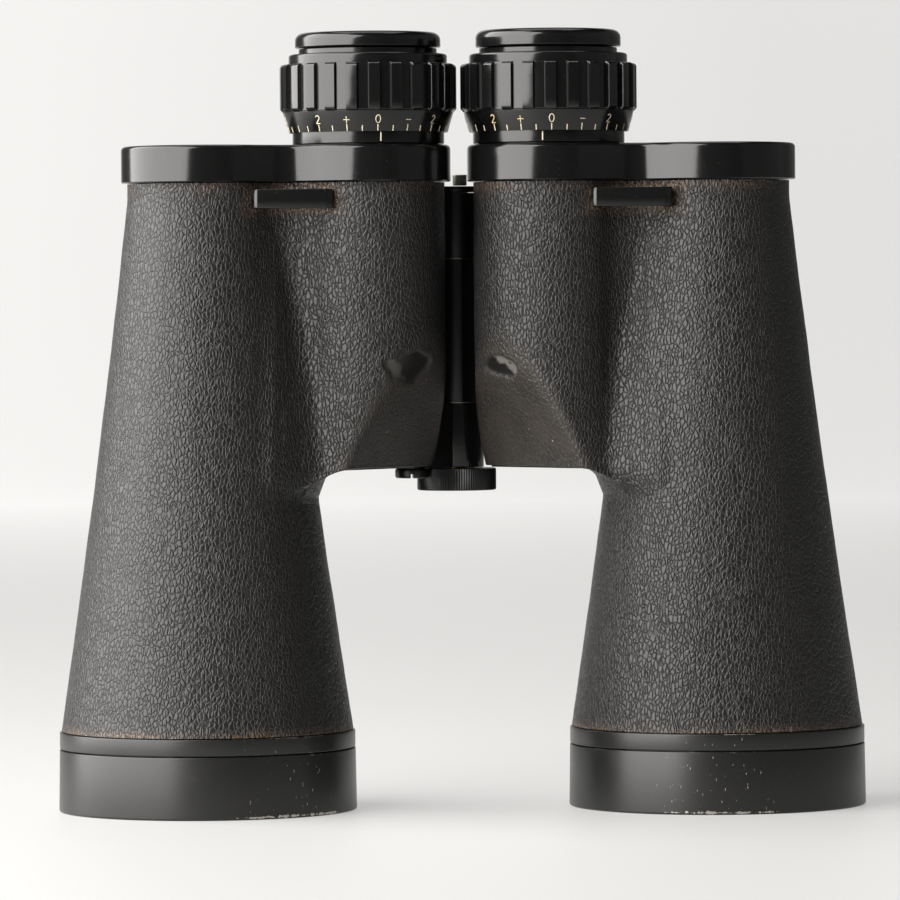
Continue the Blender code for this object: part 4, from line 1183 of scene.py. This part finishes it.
def build_hinge_ends():
    """Flange and button at the top, knurled tripod cap and slotted lock screw below."""
    low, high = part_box("hinge_top_flange")
    radius = (high.x - low.x) / 2
    mesh = tube("hinge_flange", HINGE, radius, 4.3 * MM, low.z, high.z, 0.3 * MM)
    piece(mesh.name, mesh, "left_barrel", "satin_black", ("hinge_top_flange",))
    low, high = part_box("hinge_axle_button")
    middle, radius = (low + high) / 2, (high.x - low.x) / 2
    mesh = disc("hinge_button", middle.xy, radius, low.z, high.z, 0.25 * MM, 64)
    piece(mesh.name, mesh, "left_barrel", "bare_steel", ("hinge_axle_button",), LOOKS["pale_steel"])
    build_knob()
    low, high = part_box("hinge_lock_screw")
    middle, radius = (low + high) / 2, (high.x - low.x) / 2
    head = disc("lock_screw", middle.xy, radius, low.z, high.z, 0.8 * MM, 96)
    slot = block("lock_slot", (middle.x, middle.y, low.z), (0.9 * MM, 14 * MM, 2.6 * MM))
    mesh = boolean(head, [slot], "DIFFERENCE")
    piece("lock_screw", mesh, "left_barrel", "satin_black", ("hinge_lock_screw",))


def build_knob():
    """The tripod cap, its fine straight knurl made from one ridge copied round."""
    low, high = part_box("tripod_cap_knob")
    radius, bore = (high.x - low.x) / 2, 3.5 * MM
    edge, corner = 0.5 * MM, 0.15 * MM
    # (radius, share of the knurl's depth, height)
    profile = [
        (bore, 0.0, high.z), (bore, 0.0, low.z), (radius - edge - 2 * MM, 0.0, low.z),
        (radius - edge, 0.0, low.z), (radius - corner, 0.3, low.z + corner),
        (radius, 1.0, low.z + edge), (radius, 1.0, (low.z + high.z) / 2),
        (radius, 1.0, high.z - edge), (radius - corner, 0.3, high.z - corner),
        (radius - edge, 0.0, high.z),
    ]
    pitch = TAU / KNURL_RIDGES
    columns = []
    for part_way in (-0.5, -0.25, 0.0, 0.25, 0.5):
        across, away = math.sin(pitch * part_way), -math.cos(pitch * part_way)
        cut = KNURL_DEPTH * abs(2 * part_way)
        radii = [(r - cut * share, z) for r, share, z in profile]
        columns.append([(r * across, r * away, z) for r, z in radii])
    ridge = strip("knurled_cap", columns)
    place = (*HINGE, 0.0)
    mesh = copied_round(ridge, KNURL_RIDGES, pitch, 0.0, place, LOOKS["satin_black"], 2e-6)
    piece("knurled_cap", mesh, "tripod_cap", "satin_black", ("tripod_cap_knob",))


# ---------------------------------------------------------------- every piece

for side in SIDES:
    build_cloth(side)
    build_cover(side)
    build_strap_bar(side)
    build_objective_end(side)
    build_scale(side)
    build_grip(side)
    build_eye_end(side)
    build_grub_screws(side)
build_knuckles()
build_hinge_ends()

# The CAD nodes that no finer piece stands for keep their own meshes
for row in frame["record"]["subparts"]:
    node = frame["nodes"][row["node"]]
    if not node.hide_render:
        # The prism adjusting screws take the near-black steel, painted shade for their dark holes
        look = "sunk_screw" if "adjusting" in node.name else row["material_slot"]
        node.data.materials.clear()
        node.data.materials.append(LOOKS[look])


# ---------------------------------------------------------------- floor, light and camera


def build_floor():
    """A pale paper cove: a round floor that curves up into a wall on every side, beyond any view."""
    reach, rise, wall = 3.6, 0.6, 2.8
    profile = [(0.0, 0.0), (0.6, 0.0), (1.6, 0.0), (reach - rise, 0.0)]
    for turn in np.linspace(0.1, math.pi / 2, 16):
        profile.append((reach - rise + rise * math.sin(turn), rise * (1 - math.cos(turn))))
    profile.append((reach, wall))
    mesh = skin("paper_cove", spun(profile, (0.0, 0.0), 96), closed=False, merge=True)
    mesh.flip_normals()
    mesh.shade_smooth()
    mesh.materials.append(paper())
    obj = bpy.data.objects.new("paper_cove", mesh)
    bpy.context.scene.collection.objects.link(obj)


def paper():
    """Matt white studio paper with an even, fine fibre. A glow keeps it pale: steady round the object,
    stronger towards the far wall, less there towards +X, and fading out in front and at both sides.
    """
    material, tree, shader, place = start_material("matt_paper", Roughness=0.55)
    fibre = add(tree, "ShaderNodeTexNoise", {"Vector": place, "Scale": 600.0, "Detail": 3.0})
    tone = ramp(tree, fibre.outputs["Fac"], [(0.2, "868685"), (0.8, "8a8a89")])
    tree.links.new(tone, shader.inputs["Base Color"])
    shader.inputs["Emission Color"].default_value = srgb("fdfcfa")
    spot = add(tree, "ShaderNodeSeparateXYZ", {"Vector": place}).outputs
    aside = add(tree, "ShaderNodeMath", {0: spot["X"]}, operation="ABSOLUTE").outputs[0]
    # Each row is a distance, the stretch of it that counts, and the value at its two ends
    behind, before, far, shade, middle = (
        add(tree, "ShaderNodeMapRange", {0: value, 1: start, 2: end, 3: first, 4: last}).outputs[0]
        for value, start, end, first, last in (
            (spot["Y"], 0.5, 3.5, 0.41, 0.88),
            (spot["Y"], -2.0, -0.3, -0.36, 0.0),
            (spot["Y"], 0.5, 3.5, 0.0, 1.0),
            (spot["X"], -0.4, 0.45, 0.0, -0.2),
            (aside, 0.6, 1.5, 1.0, 0.1),
        )
    )
    along = add(tree, "ShaderNodeMath", {0: behind, 1: before}, operation="ADD").outputs[0]
    graded = add(
        tree, "ShaderNodeMath", {0: far, 1: shade, 2: along}, operation="MULTIPLY_ADD"
    ).outputs[0]
    glow = add(tree, "ShaderNodeMath", {0: graded, 1: middle}, operation="MULTIPLY").outputs[0]
    tree.links.new(glow, shader.inputs["Emission Strength"])
    return material


def softbox(name, size, place, target, power, colour="ffffff"):
    """A rectangular studio light that points at a target; size in metres, power in watts."""
    light = bpy.data.lights.new(name, "AREA")
    light.shape = "RECTANGLE"
    light.size, light.size_y = size
    light.energy = power
    light.color = srgb(colour)[:3]
    obj = bpy.data.objects.new(name, light)
    obj.location = place
    obj.rotation_euler = (Vector(target) - Vector(place)).to_track_quat("-Z", "Y").to_euler()
    bpy.context.scene.collection.objects.link(obj)


def around(azimuth, distance, height):
    """A place round the object: 0 is in front, 90 to the left."""
    turn = math.radians(azimuth)
    return (-distance * math.sin(turn), -distance * math.cos(turn), height)


build_floor()
MIDDLE = (0.0, 0.0, 0.12)
softbox("key_softbox", (1.8, 1.36), around(73.5, 0.76, 0.42), MIDDLE, 53.0, "fffdfb")
softbox("top_softbox", (1.2, 0.8), (0.0, 0.25, 1.6), MIDDLE, 6.0)
softbox("fill_board", (1.5, 1.5), around(-75, 1.0, 0.4), MIDDLE, 0.6)

world = bpy.data.worlds.new("studio")
bpy.context.scene.world = world
world.use_nodes = True
world.node_tree.nodes["Background"].inputs["Color"].default_value = srgb("ffffff")
world.node_tree.nodes["Background"].inputs["Strength"].default_value = 0.0

# The camera looks at this point from this azimuth, elevation and distance, tilted by the roll
AIM = Vector((-3.3 * MM, LEFT.eye.y, 108.1 * MM))
AZIMUTH, ELEVATION, DISTANCE = math.radians(-3.0), math.radians(1.32), 1.97
ROLL = math.radians(-0.43)
FOCAL_LENGTH_MM, SENSOR_MM = 260.3, 36.0

level = math.cos(ELEVATION)
back = Vector((math.sin(AZIMUTH) * level, -math.cos(AZIMUTH) * level, math.sin(ELEVATION)))
lens = bpy.data.cameras.new("camera")
lens.lens = FOCAL_LENGTH_MM
lens.sensor_width = SENSOR_MM
lens.clip_start, lens.clip_end = 0.05, 20.0
camera = bpy.data.objects.new("camera", lens)
camera.location = AIM + back * DISTANCE
facing = (-back).to_track_quat("-Z", "Y") @ Matrix.Rotation(ROLL, 3, "Z").to_quaternion()
camera.rotation_euler = facing.to_euler()
bpy.context.scene.collection.objects.link(camera)
bpy.context.scene.camera = camera
bpy.context.scene.view_settings.view_transform = "Standard"
